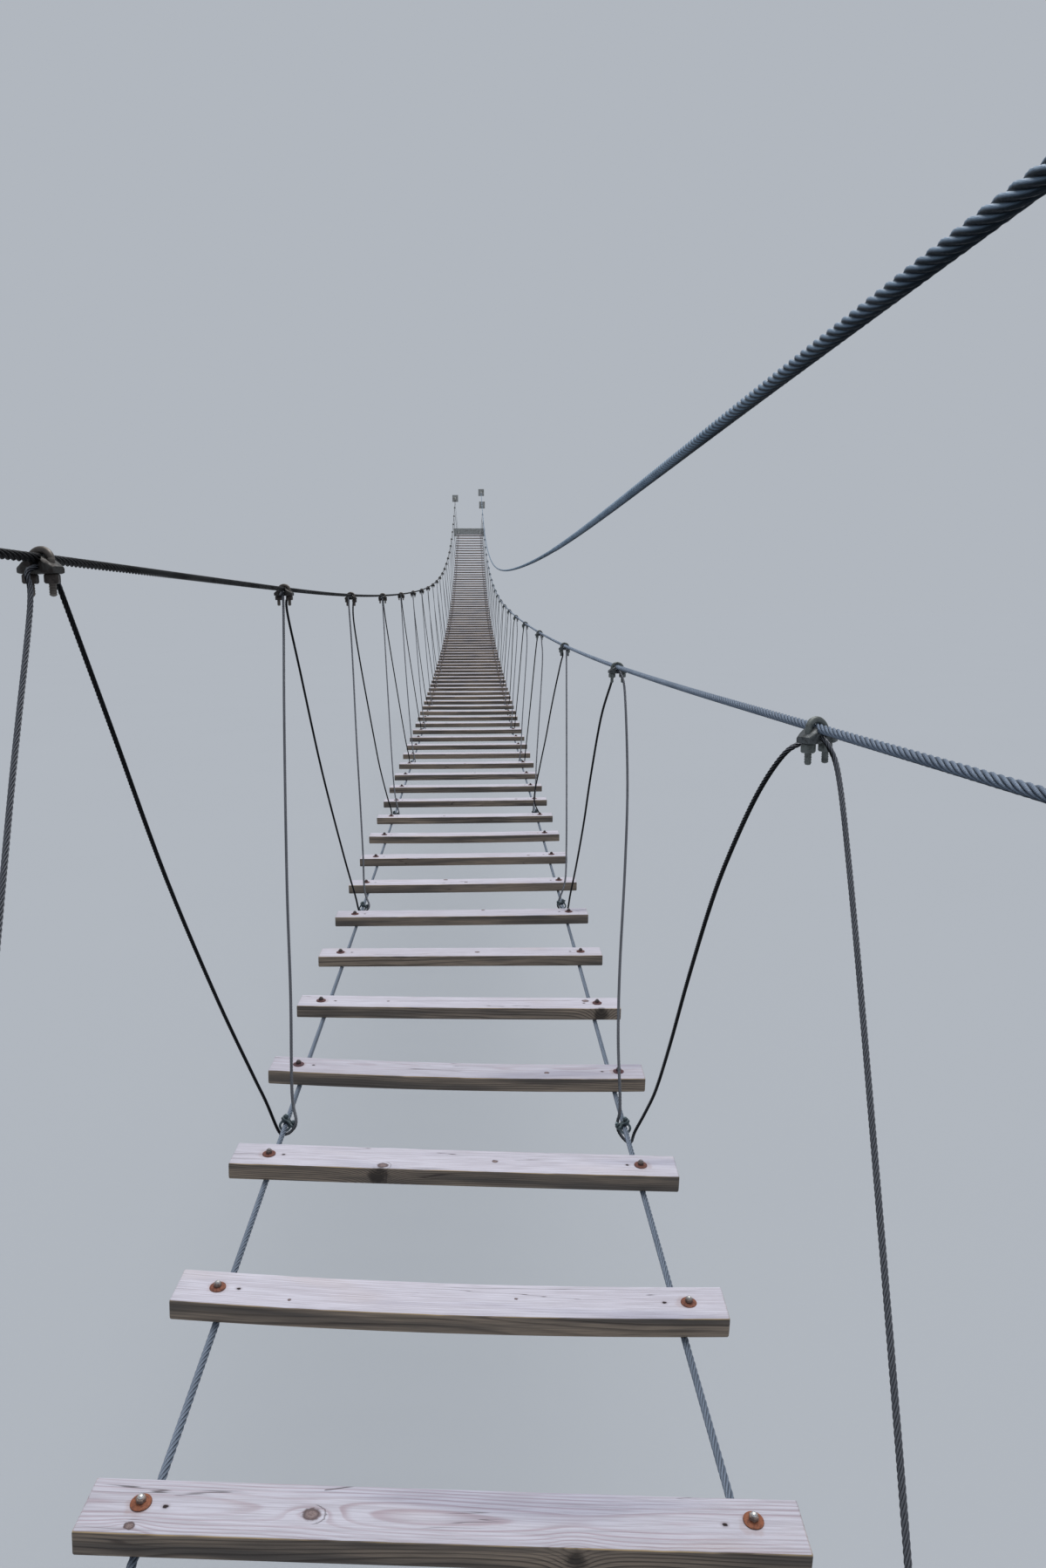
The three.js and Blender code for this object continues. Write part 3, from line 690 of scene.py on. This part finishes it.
def tread_look(i):
    """The measured look of a near tread, or one drawn for the tread's own number."""
    rng = np.random.default_rng(LOOK_SEED + i)
    knots = []
    for _ in range(2):
        x = rng.uniform(-0.23, 0.23)
        hidden = abs(abs(x) - BOLT_OFFSET) < 0.02 or rng.random() < 0.45
        knots.append((NOWHERE[0] if hidden else x, rng.uniform(-0.018, 0.018), rng.uniform(0.002, 0.0045)))
    look = {"grain": (rng.uniform(-0.05, 0.05), rng.uniform(-0.034, -0.022), rng.uniform(0.2, 0.6)), "knots": knots,
            "stain": NOWHERE, "crack": NO_CRACK, "tone": rng.uniform(0.0, 0.12), "bow": rng.uniform(0.0, 0.0016)}
    return {**look, **LOOKS.get(i, {})}


def tread_outline(corner, steps, across, deep):
    """Points round a tread's section, starting at the top, with rounded arrises."""
    half, low = TREAD_WIDTH / 2 - corner, corner - TREAD_THICKNESS
    arcs = [arc(y, z, corner, start, start - 90, steps) for y, z, start in
            ((half, -corner, 90), (half, low, 0), (-half, low, -90), (-half, -corner, -180))]
    flats = [np.linspace(arcs[n][-1], arcs[(n + 1) % 4][0], parts + 1)[1:-1]
             for n, parts in enumerate((deep, across, deep, across))]
    return np.vstack([part for pair in zip(arcs, flats) for part in pair])


def add_tread(build, i):
    near = i in NEAR_TREADS
    rng = np.random.default_rng(TREAD_SEED + i)
    outline = tread_outline(0.0016, 3, 8, 3) if near else tread_outline(0.0018, 1, 2, 1)
    half, bevel = TREAD_LENGTH / 2, 0.0014
    head = np.array([-half, -half + bevel * 0.3, -half + bevel])
    xs = np.concatenate([head, np.linspace(-half, half, 45 if near else 4)[1:-1], -head[::-1]])
    inset = np.zeros(len(xs))
    inset[[0, -1]], inset[[1, -2]] = bevel, bevel * 0.3
    away = outline - [0, -TREAD_THICKNESS / 2]
    points = np.empty((len(xs), len(outline), 3))
    points[..., 0] = xs[:, None]
    points[..., 1:] = outline - np.sign(away) * np.minimum(np.abs(away), inset[:, None, None])
    if near:
        # Worn faces and arrises, a slight cup and a low bow, all inside the sawn size
        waves = sum(rng.uniform(0.3, 1) * np.sin(xs[:, None] * rng.uniform(8, 90)
                                                 + outline[:, 0] * rng.uniform(20, 160)
                                                 + rng.uniform(0, 6)) for _ in range(6)) / 6
        top = points[..., 2] > -0.004
        cup = (outline[:, 0] / (TREAD_WIDTH / 2)) ** 2
        points[..., 2] -= top * (0.00022 * (1 - cup) + 0.00016 * (waves + 1))
        chips = sum(np.sin(xs * rng.uniform(30, 260) + rng.uniform(0, 6)) for _ in range(4)) / 4
        corner = (np.abs(outline[:, 0]) > TREAD_WIDTH / 2 - 0.0017) & (outline[:, 1] > -0.0017)
        points[:, corner, 2] -= 0.00045 * np.maximum(chips, 0)[:, None]
        points[..., 1] *= 1 - 0.004 * (waves + 1)
    look = tread_look(i)
    middle, axes = tread_frame(i)

    def hung(local):
        """At the tread's place, hanging through between its two bolts."""
        sag = look["bow"] * (1 - (local[..., 0] / DECK_CABLE_OFFSET) ** 2)
        return place(local - sag[..., None] * np.array([0, 0, 1]), middle, axes)

    values = dict(seed=i * GOLDEN % 1.0, grain=look["grain"], tone=look["tone"], knot_a=look["knots"][0],
                  knot_b=look["knots"][1], stain=look["stain"], crack_a=look["crack"][:3],
                  crack_b=(*look["crack"][3:], 0.0))
    build.add(hung(points), grid_faces(*points.shape[:2]), plank=points, **values)
    for cap, faces in caps(points):
        build.add(hung(cap), faces, smooth=False, plank=cap, **values)


for section in range(SECTIONS):
    boards = Build()
    for i in range(section * SECTION_TREADS, (section + 1) * SECTION_TREADS):
        add_tread(boards, i)
    number = f"{section + 1:02d}"
    boards.piece(f"treads_{number}", "tread_wood", [WOOD], [f"deck_section_{number}"], sharp=50)


# Bolts, nuts and washers on the treads

def hex_nut(build, radius, height, bore, at, axes, phase, **values):
    outline = [(0, height * 0.9), (bore, height), (radius * 0.84, height), (radius, height * 0.84),
               (radius, height * 0.14), (radius * 0.86, 0), (0, 0)]
    turned(build, outline, 6, at, axes, phase, smooth=False, **values)


# Outlines of a washer and a bolt's end, near and far, and of the nut: radius, height, bore and place
NEAR_DISH = [(0, 0.0019), (0.0024, 0.0019), (0.0030, 0.0018), (0.0066, 0.00095), (0.0072, 0.0007),
             (0.0073, 0.0002), (0.0070, 0.0), (0, 0.0)]
NEAR_END = [(0, 0.0066), (0.0010, 0.0065), (0.0019, 0.0060), (0.00225, 0.0053), (0.0023, 0.0046),
            (0.0020, 0.0043), (0.0020, 0.0015), (0, 0.0015)]
FAR_DISH = [(0, 0.0019), (0.0028, 0.0018), (0.0072, 0.0007), (0.0071, 0.0), (0, 0.0)]
FAR_END = [(0, 0.0065), (0.0019, 0.0060), (0.0022, 0.0044), (0.0020, 0.0018), (0, 0.0018)]
TREAD_NUT, NUT_PLACE = (0.0036, 0.0030, 0.0021), 0.0017
# Places of the near washers: left x, left y, right x, right y, and how dull they are
WASHERS = {20: (-0.2095, 0.002, 0.2125, 0.0035, 0.0), 21: (-0.2108, 0.0, 0.2140, 0.0, 0.25),
           22: (-0.2080, 0.0, 0.2070, 0.0, 0.55), 23: (-0.2120, 0.0, 0.2139, 0.0, 1.0),
           24: (-0.2140, 0.0, 0.2126, 0.0, 0.9)}

washers, nuts, bolts = Build(), Build(), Build()
random.seed(BOLT_SEED)
for i in range(TREADS):
    middle, axes = tread_frame(i)
    dish, end, sides, end_sides = (NEAR_DISH, NEAR_END, 24, 16) if i in NEAR_BOLTS else (FAR_DISH, FAR_END, 10, 8)
    for side in (-1, 1):
        spot = np.array([side * BOLT_OFFSET + random.uniform(-0.002, 0.002), random.uniform(-0.0012, 0.0012), -0.0003])
        dull = random.uniform(0.75, 1.0)
        if i in WASHERS:
            spot[:2] = WASHERS[i][:2] if side < 0 else WASHERS[i][2:4]
            dull = WASHERS[i][4]
        at = place(spot, middle, axes)
        tilt = random.uniform(0, math.pi)
        turned(washers, dish, sides, at, axes, dull=dull)
        turned(bolts, end, end_sides, at, axes, tilt, dull=min(1.0, dull * 1.6))
        hex_nut(nuts, *TREAD_NUT, at + axes[:, 2] * NUT_PLACE, axes, tilt, dull=dull)
washers.piece("tread_washers", "bolt_rust", [RUST], sharp=40)
nuts.piece("tread_nuts", "bolt_rust", [NUT])
bolts.piece("tread_bolt_ends", "clip_steel", [BOLT], sharp=50)


# Rail, safety and deck ropes

SOCKET_REACH = 0.062


def between_sockets(points, per):
    """A curve through the points, its ends moved from their pins to where the rope leaves the sockets."""
    for end, inner in ((0, 1), (-1, -2)):
        points[end] = points[end] + unit(points[inner] - points[end]) * SOCKET_REACH
    return smooth_line(points, per)


def rail_line(rail):
    return between_sockets([rail_point(rail, NEAR_PIN_Y), *(clip_point(rail, k) for k in range(1, TREADS + 1, 2)),
                            rail_point(rail, FAR_PIN_Y)], 8)


def deck_end(side, k, pin_y):
    here = deck_cable_point(k, side)
    there = deck_cable_point(1 if k == 0 else k - 1, side)
    slope = (here[2] - there[2]) / (here[1] - there[1])
    return np.array([here[0], pin_y, here[2] + slope * (pin_y - here[1])])


def deck_line(side):
    return between_sockets([deck_end(side, 0, NEAR_PIN_Y), *(deck_cable_point(k, side) for k in range(TREADS + 1)),
                            deck_end(side, TREADS, FAR_PIN_Y)], 4)


RAIL_ZONES = ((FINE_FROM, None), (RAIL_FINE_TO, FINE), (RAIL_MID_TO, MID), (BEYOND, None))
DECK_ZONES = ((FINE_FROM, None), (DECK_FINE_TO, FINE), (DECK_MID_TO, MID), (BEYOND, None))
RAIL_PIECES = (
    ("handrail_cable_left", LEFT_RAIL, HANDRAIL_CABLE, HANDRAIL_LAY, ROPE_DARK, "wire_rope_dark"),
    ("handrail_cable_right", RIGHT_RAIL, HANDRAIL_CABLE, HANDRAIL_LAY, ROPE_BLUE, "wire_rope"),
    ("safety_cable", SAFETY, SAFETY_CABLE, SAFETY_LAY, ROPE_SAFETY, "wire_rope"),
)
for name, rail, diameter, lay, materials, slot in RAIL_PIECES:
    laid = Build()
    zoned_rope(laid, rail_line(rail), diameter, lay, RAIL_ZONES)
    laid.piece(name, slot, materials, [f"{name}_{part:02d}" for part in (1, 2, 3)])
for name, side in (("deck_cable_left", -1), ("deck_cable_right", 1)):
    laid = Build()
    zoned_rope(laid, deck_line(side), DECK_CABLE, DECK_LAY, DECK_ZONES)
    laid.piece(name, "wire_rope", ROPE_DECK)


# Hanger ropes: one zigzag each side, held at each bend, in millimetres as in the part. "down" and "up"
# are bends between a rail clip and a deck clip: the share of the way down, and how far inside the
# straight line the rope lies. "under" is its bend at the deck clip: inward, along and up.

UNDER_RAIL = HANDRAIL_CABLE / 2 + HANGER_ROPE / 2
LEFT_NET = {
    "side": -1, "rail": LEFT_RAIL,
    "down": ((0.05, -4), (0.3, -10.5), (0.8, -15.3), (0.95, -12)),
    "up": ((0.05, -1.9), (0.5, -0.5), (0.88, 4)),
    "under": ((-8, -7, -4.5), (0, -8, -8.5), (8, -7, -4.5), (12.8, -2, 6)),
    "loose": {
        21: {"down": ((0.04, 4.3), (0.1, 1.9), (0.2, -2.2), (0.42, -11.5), (0.66, -14.6), (0.85, -13), (0.93, -11.8)),
             "up": ((0.05, -2.7), (0.2, -2.0), (0.35, -0.1), (0.9, 7.1))},
        25: {"down": ((0.05, -3.3), (0.2, -6.7), (0.5, -13), (0.8, -12.6), (0.95, -10.2)),
             "up": ((0.03, -0.7), (0.3, 0), (0.6, 2.5), (0.8, 6.6), (0.95, 7.4))},
        29: {"down": ((0.1, -5.5), (0.3, -10.8), (0.6, -14.4), (0.75, -15.1), (0.9, -11.2), (0.97, -7.8)),
             "up": ((0.2, -1.8), (0.5, 0.3), (0.7, 2.8), (0.85, 4.3), (0.95, 4.3))}},
}
RIGHT_NET = {
    "side": 1, "rail": RIGHT_RAIL,
    "down": ((0.12, 5.8), (0.6, -7.6), (0.92, -14.8)),
    "up": ((0.06, -9), (0.2, -12.8), (0.7, 0.3), (0.9, 3.2)),
    "under": ((-12.5, -3, -5), (-8.5, -2, -19), (-2.5, 2, -20), (6, 7, -10), (7.5, 9, 2)),
    "loose": {
        21: {"down": ((0.036, 15), (0.095, 21.5), (0.19, 22.5), (0.3, 19.4), (0.49, 7.8), (0.69, -6.4),
                      (0.845, -15.6), (0.937, -16.8)),
             "up": ((0.046, -11), (0.115, -12.2), (0.29, -10.9), (0.65, -5.4), (0.93, 2.2))},
        25: {"down": ((0.053, 4), (0.174, 7.8), (0.4, 2.1), (0.6, -5.3), (0.8, -10.2), (0.94, -12)),
             "up": ((0.072, -11.4), (0.3, -12.6), (0.5, -6.5), (0.7, 2.6), (0.84, 6.3), (0.96, 5))},
        29: {"down": ((0.05, 0.5), (0.1, 2.6), (0.3, 6.6), (0.5, 7.9), (0.7, 11.2), (0.9, 11.5)),
             "up": ((0.05, -4.9), (0.3, -6.3), (0.6, -7.8), (0.8, -8.2), (0.92, -6))}},
}
MEASURED_CLIPS = (21, 25, 29)
# Out from under the rail, from the middle of its clip: inward, along and down
RAIL_EXIT = ((0, 5, 5.5), (1.5, 9, 6.5), (4, 13, 11))


def end_clip(rail):
    """Place and direction of the last rail clip, beyond the last tread."""
    last = clip_point(rail, TREADS - 1)
    way = unit(rail_point(rail, FAR_PIN_Y) - last)
    return last + way * END_CLIP_RUN, way


def rail_clip_way(rail, k):
    return rail_point(rail, STATIONS[k + 1][1]) - rail_point(rail, STATIONS[k - 1][1])


def deck_clip_axes(k, side):
    return frame_at(deck_cable_point(k + 1, side) - deck_cable_point(k - 1, side))


def hanger_bay(net, k, rng):
    """The rope from the middle of rail clip k down to the deck clip and up to the next rail clip."""
    side, rail, low_k, next_k = net["side"], net["rail"], k + BAY // 2, k + BAY
    here = clip_point(rail, k)
    there = clip_point(rail, next_k) if next_k < TREADS else end_clip(rail)[0]
    deck, axes = deck_cable_point(low_k, side), deck_clip_axes(low_k, side)
    inward = np.array([-side, 0, 0])

    def bends(kind, at, rail_at):
        slack = 1.0 if rail_at in MEASURED_CLIPS else rng.uniform(0.55, 1.25)
        return [at + (deck - at) * share + inward * offset * slack * MM
                for share, offset in net["loose"].get(rail_at, net)[kind]]

    def leaving(at, way):
        return [at + np.array([-side * way * a, way * b, -c]) * MM for a, b, c in RAIL_EXIT]

    under = [deck + axes @ (np.array([-side * a, b, c]) * MM) for a, b, c in net["under"]]
    start, finish = here - [0, 0, UNDER_RAIL], there - [0, 0, UNDER_RAIL]
    return [start, *leaving(here, 1), *bends("down", here, k), *under, *bends("up", there, next_k)[::-1],
            *leaving(there, -1)[::-1], finish]


for name, net, materials, slot in (("hanger_net_left", LEFT_NET, ROPE_HANGER, "wire_rope_dark"),
                                   ("hanger_net_right", RIGHT_NET, ROPE_HANGER, "wire_rope")):
    rng = np.random.default_rng(HANGER_SEED + net["side"])
    for section in range(SECTIONS):
        laid, start = Build(), 0.0
        for k in RAIL_CLIPS[section * SECTION_BAYS:(section + 1) * SECTION_BAYS]:
            line = smooth_line(hanger_bay(net, k, rng), 6)
            start = rope(laid, line, HANGER_ROPE, HANGER_LAY, MEDIUM if k in HANGER_FINE else None, start, 0.012)
        piece_name = f"{name}_{section + 1:02d}"
        laid.piece(piece_name, slot, materials, [piece_name])


# Rope clips

def bar(build, line, radius, sides, at, axes, threads, **values):
    """A round bar along a line of local points, with domed ends and, on its legs, ridges of thread."""
    line, run = spaced(line, 0.0009 if threads else 0.0022)
    across, ups, tangents = carried_frames(line)
    radii = np.full(len(line), radius)
    if threads:
        legs = (run < threads) | (run > run[-1] - threads)
        radii[legs & (np.arange(len(line)) % 2 == 1)] *= 0.86
    radii[[0, -1]] *= 0.7
    angle = (np.arange(sides) * 2 * math.pi / sides)[:, None]
    rings = line[:, None] + (np.cos(angle) * across[:, None] + np.sin(angle) * ups[:, None]) * radii[:, None, None]
    dome = tangents * radius * 0.15
    loft(build, rings, at, axes, [line[0] - dome[0], line[-1] + dome[-1]], **values)


def saddle(build, size, at, axes, near):
    """A forged saddle, its back at z = 0: bosses that slope down outwards, and a groove for the ropes between."""
    half_width, high, groove = size["width"] / 2, size["high"], size["groove"]
    slope = np.linspace(groove, half_width, 8 if near else 3)
    hollow = np.linspace(-groove, groove, 9 if near else 4)[1:-1]
    rings = []
    for x in np.concatenate([-slope[::-1], hollow, slope]):
        away = abs(x)
        outward = max(0.0, (away - groove) / (half_width - groove))
        boss = math.exp(-((away - size["gap"] / 2) / size["leg"]) ** 2)
        half = size["length"] / 2 * (0.68 + 0.32 * boss)
        top = high * (1 - 0.58 * outward)
        if away < groove:
            top -= size["depth"] * math.sqrt(1 - (away / groove) ** 2)
        low = high * 0.04 * max(0.0, outward - 0.8) / 0.2
        inset = min(0.0014, (top - low) * 0.25)
        rings.append([(x, y, z) for y, z in (
            (-half, top - inset), (-half + inset, top), (half - inset, top), (half, top - inset),
            (half, low + inset * 0.5), (half - inset, low), (-half + inset, low), (-half, low + inset * 0.5))])
    loft(build, rings, at, axes)


def clip(build, size, at, axes, near, tilt):
    """A wire rope clip: U-bolt, saddle, two nuts and threaded legs. The saddle lies below the rope."""
    turn = np.array([[math.cos(tilt), -math.sin(tilt), 0], [math.sin(tilt), math.cos(tilt), 0], [0, 0, 1]])
    axes = axes @ turn
    r, leg, back = size["gap"] / 2, size["leg"] / 2, size["back"]
    a = np.linspace(0, math.pi, 14 if near else 7)
    bend = np.column_stack([-r * np.cos(a), size["lean"] * np.sin(a), size["top"] - r + r * np.sin(a)])
    line = smooth_line(np.vstack([(-r, 0, size["bottom"]), bend, (r, 0, size["bottom"])]), 2)
    bar(build, line, leg, 12 if near else 6, at, axes, size["thread"] if near else None, material=1)
    saddle(build, size, place([0, 0, back], at, axes), axes, near)
    for side in (-1, 1):
        hex_nut(build, size["nut"] / 2, size["nut_high"], leg, place([side * r, 0, back], at, axes),
                axes * [1, -1, -1], tilt * 3 + side, material=1)


RAIL_CLIP = {"leg": 0.0052, "gap": 0.0170, "top": 0.0057, "bottom": -0.0250, "back": -0.0103, "width": 0.0278,
             "length": 0.0155, "high": 0.0116, "groove": 0.0039, "depth": 0.0085, "nut": 0.0108, "nut_high": 0.0064,
             "thread": 0.012, "lean": 0.0018}
DECK_CLIP = {"leg": 0.0030, "gap": 0.0118, "top": 0.0092, "bottom": -0.0118, "back": -0.0066, "width": 0.0185,
             "length": 0.0105, "high": 0.0062, "groove": 0.0035, "depth": 0.0036, "nut": 0.0062, "nut_high": 0.0030,
             "thread": 0.006, "lean": 0.0012}
DECK_CLIP_ROLL, END_CLIP_TURN = 32, 0.1
CLIP_TURNS = {("left", 21): -0.28, ("right", 21): 0.50}
random.seed(CLIP_SEED)
# Each side's clip materials; the left side's darker ones are painted shade
for word, rail, side, material, hoop in (("left", LEFT_RAIL, -1, CLIP_RAIL, HOOP_RAIL),
                                         ("right", RIGHT_RAIL, 1, CLIP_RIGHT, HOOP_RIGHT)):
    rail_clips, deck_clips = Build(), Build()
    for k in RAIL_CLIPS:
        clip(rail_clips, RAIL_CLIP, clip_point(rail, k), frame_at(rail_clip_way(rail, k)), k in NEAR_RAIL_CLIPS,
             CLIP_TURNS.get((word, k), random.uniform(-0.25, 0.25)))
    last, way = end_clip(rail)
    clip(rail_clips, RAIL_CLIP, last, frame_at(way), False, END_CLIP_TURN)
    for k in DECK_CLIPS:
        axes = deck_clip_axes(k, side)
        # Upside down, so that the saddle and nuts are above and the U passes below the ropes, outer end up
        roll = math.radians(-side * (DECK_CLIP_ROLL + random.uniform(-6, 6)))
        x = axes[:, 0] * math.cos(roll) - axes[:, 2] * math.sin(roll)
        z = axes[:, 0] * math.sin(roll) + axes[:, 2] * math.cos(roll)
        clip(deck_clips, DECK_CLIP, deck_cable_point(k, side), np.column_stack([-x, axes[:, 1], -z]),
             k in NEAR_DECK_CLIPS, random.uniform(-0.3, 0.3))
    rail_clips.piece(f"rail_clips_{word}", "clip_steel", [material, hoop], sharp=45)
    deck_clips.piece(f"deck_clips_{word}", "clip_steel", [CLIP_DECK, CLIP_DECK], sharp=45)


# Anchor plates, lugs and cable sockets at both ends

PLATE_THICKNESS, PLATE_CORNER, PLATE_BEVEL, SLAB_BEVEL = 0.010, 0.006, 0.0012, 0.0006
DECK_PLATE, CABLE_PLATE = (0.600, 0.150), (0.110, 0.130)
DECK_BOLTS = [(x, z) for x in (-0.27, -0.12, 0.12, 0.27) for z in (-0.052, 0.052)]
CABLE_BOLTS = [(x, z) for x in (-0.038, 0.038) for z in (-0.046, 0.046)]
LUG = {"thickness": 0.008, "height": 0.034, "length": 0.050}
SOCKET = {"ear": 0.005, "ear_length": 0.046, "start": 0.040, "length": 0.044}
EAR_GAP, TRIM = 0.0003, 0.00002
WELD = [(0, 0.004), (0.0045, 0.0032), (0.0052, 0.0), (0, 0.0)]
PLATE_WASHER = [(0, 0.0016), (0.0085, 0.0016), (0.0092, 0.0012), (0.0094, 0.0), (0, 0.0)]
PLATE_BOLT = [(0, 0.0118), (0.0032, 0.0118), (0.0038, 0.0112), (0.0038, 0.0), (0, 0.0)]
PLATE_NUT, PLATE_NUT_PLACE = (0.0068, 0.0052, 0.004), 0.0015


def frame_of(x, z):
    return np.column_stack([x, np.cross(z, x), z])


def rounded_plate(build, width, height, at, axes):
    """A flat plate in local x and z with rounded corners, its back at y = 0, its front edge eased."""
    corner, bevel, depth = PLATE_CORNER, PLATE_BEVEL, PLATE_THICKNESS
    outline = np.vstack([arc(cx * (width / 2 - corner), cz * (height / 2 - corner), corner, start, start + 90, 4)
                         for cx, cz, start in ((1, 1, 0), (-1, 1, 90), (-1, -1, 180), (1, -1, 270))])
    rings = []
    for inset, y in ((bevel, depth), (bevel * 0.3, depth - bevel * 0.3), (0.0, depth - bevel), (0.0, 0.0)):
        x, z = (outline * (1 - inset * 2 / np.array([width, height]))).T
        rings.append(np.column_stack([x, np.full(len(x), y), z]))
    loft(build, rings, at, axes)


def slab_outline(length, height):
    """A lug or ear seen from the side: square at y = 0, round at its far end."""
    r = height / 2
    return np.vstack([(0, -r), arc(length - r, 0, r, -90, 90, 9), (0, r)])


def slab(build, outline, thickness, at, axes):
    """An outline in local y and z, made "thickness" thick along x, with eased edges."""
    centre, half = outline.mean(0), thickness / 2
    size = np.abs(outline - centre).max(0)
    rings = []
    for x, inset in ((-half, SLAB_BEVEL), (SLAB_BEVEL - half, 0), (half - SLAB_BEVEL, 0), (half, SLAB_BEVEL)):
        ring = centre + (outline - centre) * (1 - inset / size)
        rings.append(np.column_stack([np.full(len(ring), x), ring]))
    loft(build, rings, at, axes)


def anchor(name, node, size, centre, lugs, facing, bolt_places):
    """A plate with its lugs and bolts, which are placed from its centre."""
    build = Build()
    axes = np.diag([facing, facing, 1.0])
    out = frame_of(axes[:, 0], axes[:, 1])

    def on_plate(x, z, sunk):
        return centre + np.array([x, facing * (PLATE_THICKNESS - sunk), z])

    rounded_plate(build, size[0] - TRIM, size[1] - TRIM, centre, axes)
    for x in lugs:
        slab(build, slab_outline(LUG["length"], LUG["height"]), LUG["thickness"], on_plate(x, 0, 0.0005), axes)
        for z in (-0.011, -0.004, 0.004, 0.011):
            for side in (-1, 1):
                turned(build, WELD, 10, on_plate(x + side * LUG["thickness"] / 2, z, 0.0012), out, z * 40)
    for x, z in bolt_places:
        at = on_plate(x, z, 0.0002)
        turned(build, PLATE_WASHER, 24, at, out)
        hex_nut(build, *PLATE_NUT, at + out[:, 2] * PLATE_NUT_PLACE, out, x * 9 + z * 5)
        turned(build, PLATE_BOLT, 16, at, out)
    build.piece(name, "anchor_steel", [PLATE], [node], sharp=35)


def socket(build, pin, way, diameter):
    """A forged open socket: two ears on a pin through the lug, and a conical basket for the rope."""
    axes = frame_at(way)
    height, long = diameter * 2.2, SOCKET["length"]
    inner = LUG["thickness"] / 2 + EAR_GAP
    ear = (slab_outline(SOCKET["ear_length"], height) * [-1, 1] + [SOCKET["ear_length"], 0])[::-1]
    for side in (-1, 1):
        slab(build, ear, SOCKET["ear"], place([side * (inner + SOCKET["ear"] / 2), 0, 0], pin, axes), axes)
    body = inner + SOCKET["ear"]
    basket = [(0, 0), (body * 0.68, 0), (body * 0.78, long * 0.06), (body * 0.80, long * 0.28),
              (body * 0.97, long - 0.012), (body, long - 0.006), (body * 0.96, long - 0.002), (body * 0.78, long),
              (0, long)]
    turned(build, basket, 28, place([0, SOCKET["start"], 0], pin, axes), frame_of(axes[:, 0], axes[:, 1]))
    reach, r = body + 0.0012, height * 0.26
    turned(build, [(0, reach), (r * 0.85, reach), (r, reach - 0.0006), (r, -reach + 0.0006), (r * 0.85, -reach),
                   (0, -reach)], 18, place([0, 0.010, 0], pin, axes), frame_of(axes[:, 1], axes[:, 0]))


sockets = Build()
for end, y, pin_y, facing, k, next_k in (("near", 0.0, NEAR_PIN_Y, 1, 0, 1),
                                         ("far", FAR_Y, FAR_PIN_Y, -1, TREADS, TREADS - 1)):
    pins = [deck_end(side, k, pin_y) for side in (-1, 1)]
    anchor(f"anchor_plate_deck_{end}", f"deck_anchor_{end}", DECK_PLATE,
           np.array([0, y, 0.0 if end == "near" else pins[0][2]]), [pin[0] for pin in pins], facing, DECK_BOLTS)
    for side, pin in zip((-1, 1), pins):
        socket(sockets, pin, deck_cable_point(k, side) - pin, DECK_CABLE)
    for word, node, rail, diameter in (("left", "handrail_anchor_left", LEFT_RAIL, HANDRAIL_CABLE),
                                       ("right", "handrail_anchor_right", RIGHT_RAIL, HANDRAIL_CABLE),
                                       ("safety", "safety_anchor", SAFETY, SAFETY_CABLE)):
        pin = rail_point(rail, pin_y)
        anchor(f"anchor_plate_{word}_{end}", f"{node}_{end}", CABLE_PLATE, np.array([pin[0], y, pin[2]]), [0.0],
               facing, CABLE_BOLTS)
        socket(sockets, pin, rail_point(rail, STATIONS[next_k][1]) - pin, diameter)
sockets.piece("cable_sockets", "anchor_steel", [PLATE], sharp=35)


# Floor, light and backdrop

FLOOR = [(-90, -70, -1.6), (90, -70, -1.6), (90, 110, -1.6), (-90, 110, -1.6)]
floor_mesh = bpy.data.meshes.new("floor")
floor_mesh.from_pydata(FLOOR, [], [(0, 1, 2, 3)])
floor = bpy.data.objects.new("floor", floor_mesh)
bpy.context.scene.collection.objects.link(floor)
pale = Nodes("pale_floor", roughness=1.0, specular=0.0)
tint = pale.noise(pale.object_place(), 0.6, 3.0)
floor_mesh.materials.append(pale.finish(pale.mix(tint, (0.350, 0.371, 0.399), (0.356, 0.378, 0.406))))

SKY, SKY_STRENGTH = (0.80, 0.86, 0.945, 1), 0.55
scene = bpy.context.scene
scene.world = bpy.data.worlds.new("world")
scene.world.use_nodes = True
sky = scene.world.node_tree.nodes["Background"].inputs
sky[0].default_value, sky[1].default_value = SKY, SKY_STRENGTH

SUN = {"turn": (-24, 8, 0), "energy": 2.8, "angle": 40, "colour": (1.0, 0.98, 0.96)}
sun_data = bpy.data.lights.new("key", "SUN")
sun_data.energy, sun_data.angle, sun_data.color = SUN["energy"], math.radians(SUN["angle"]), SUN["colour"]
sun = bpy.data.objects.new("key", sun_data)
sun.rotation_euler = [math.radians(a) for a in SUN["turn"]]
scene.collection.objects.link(sun)

scene.view_settings.view_transform = "Standard"
scene.view_settings.look = "None"
scene.view_settings.exposure = 0.0
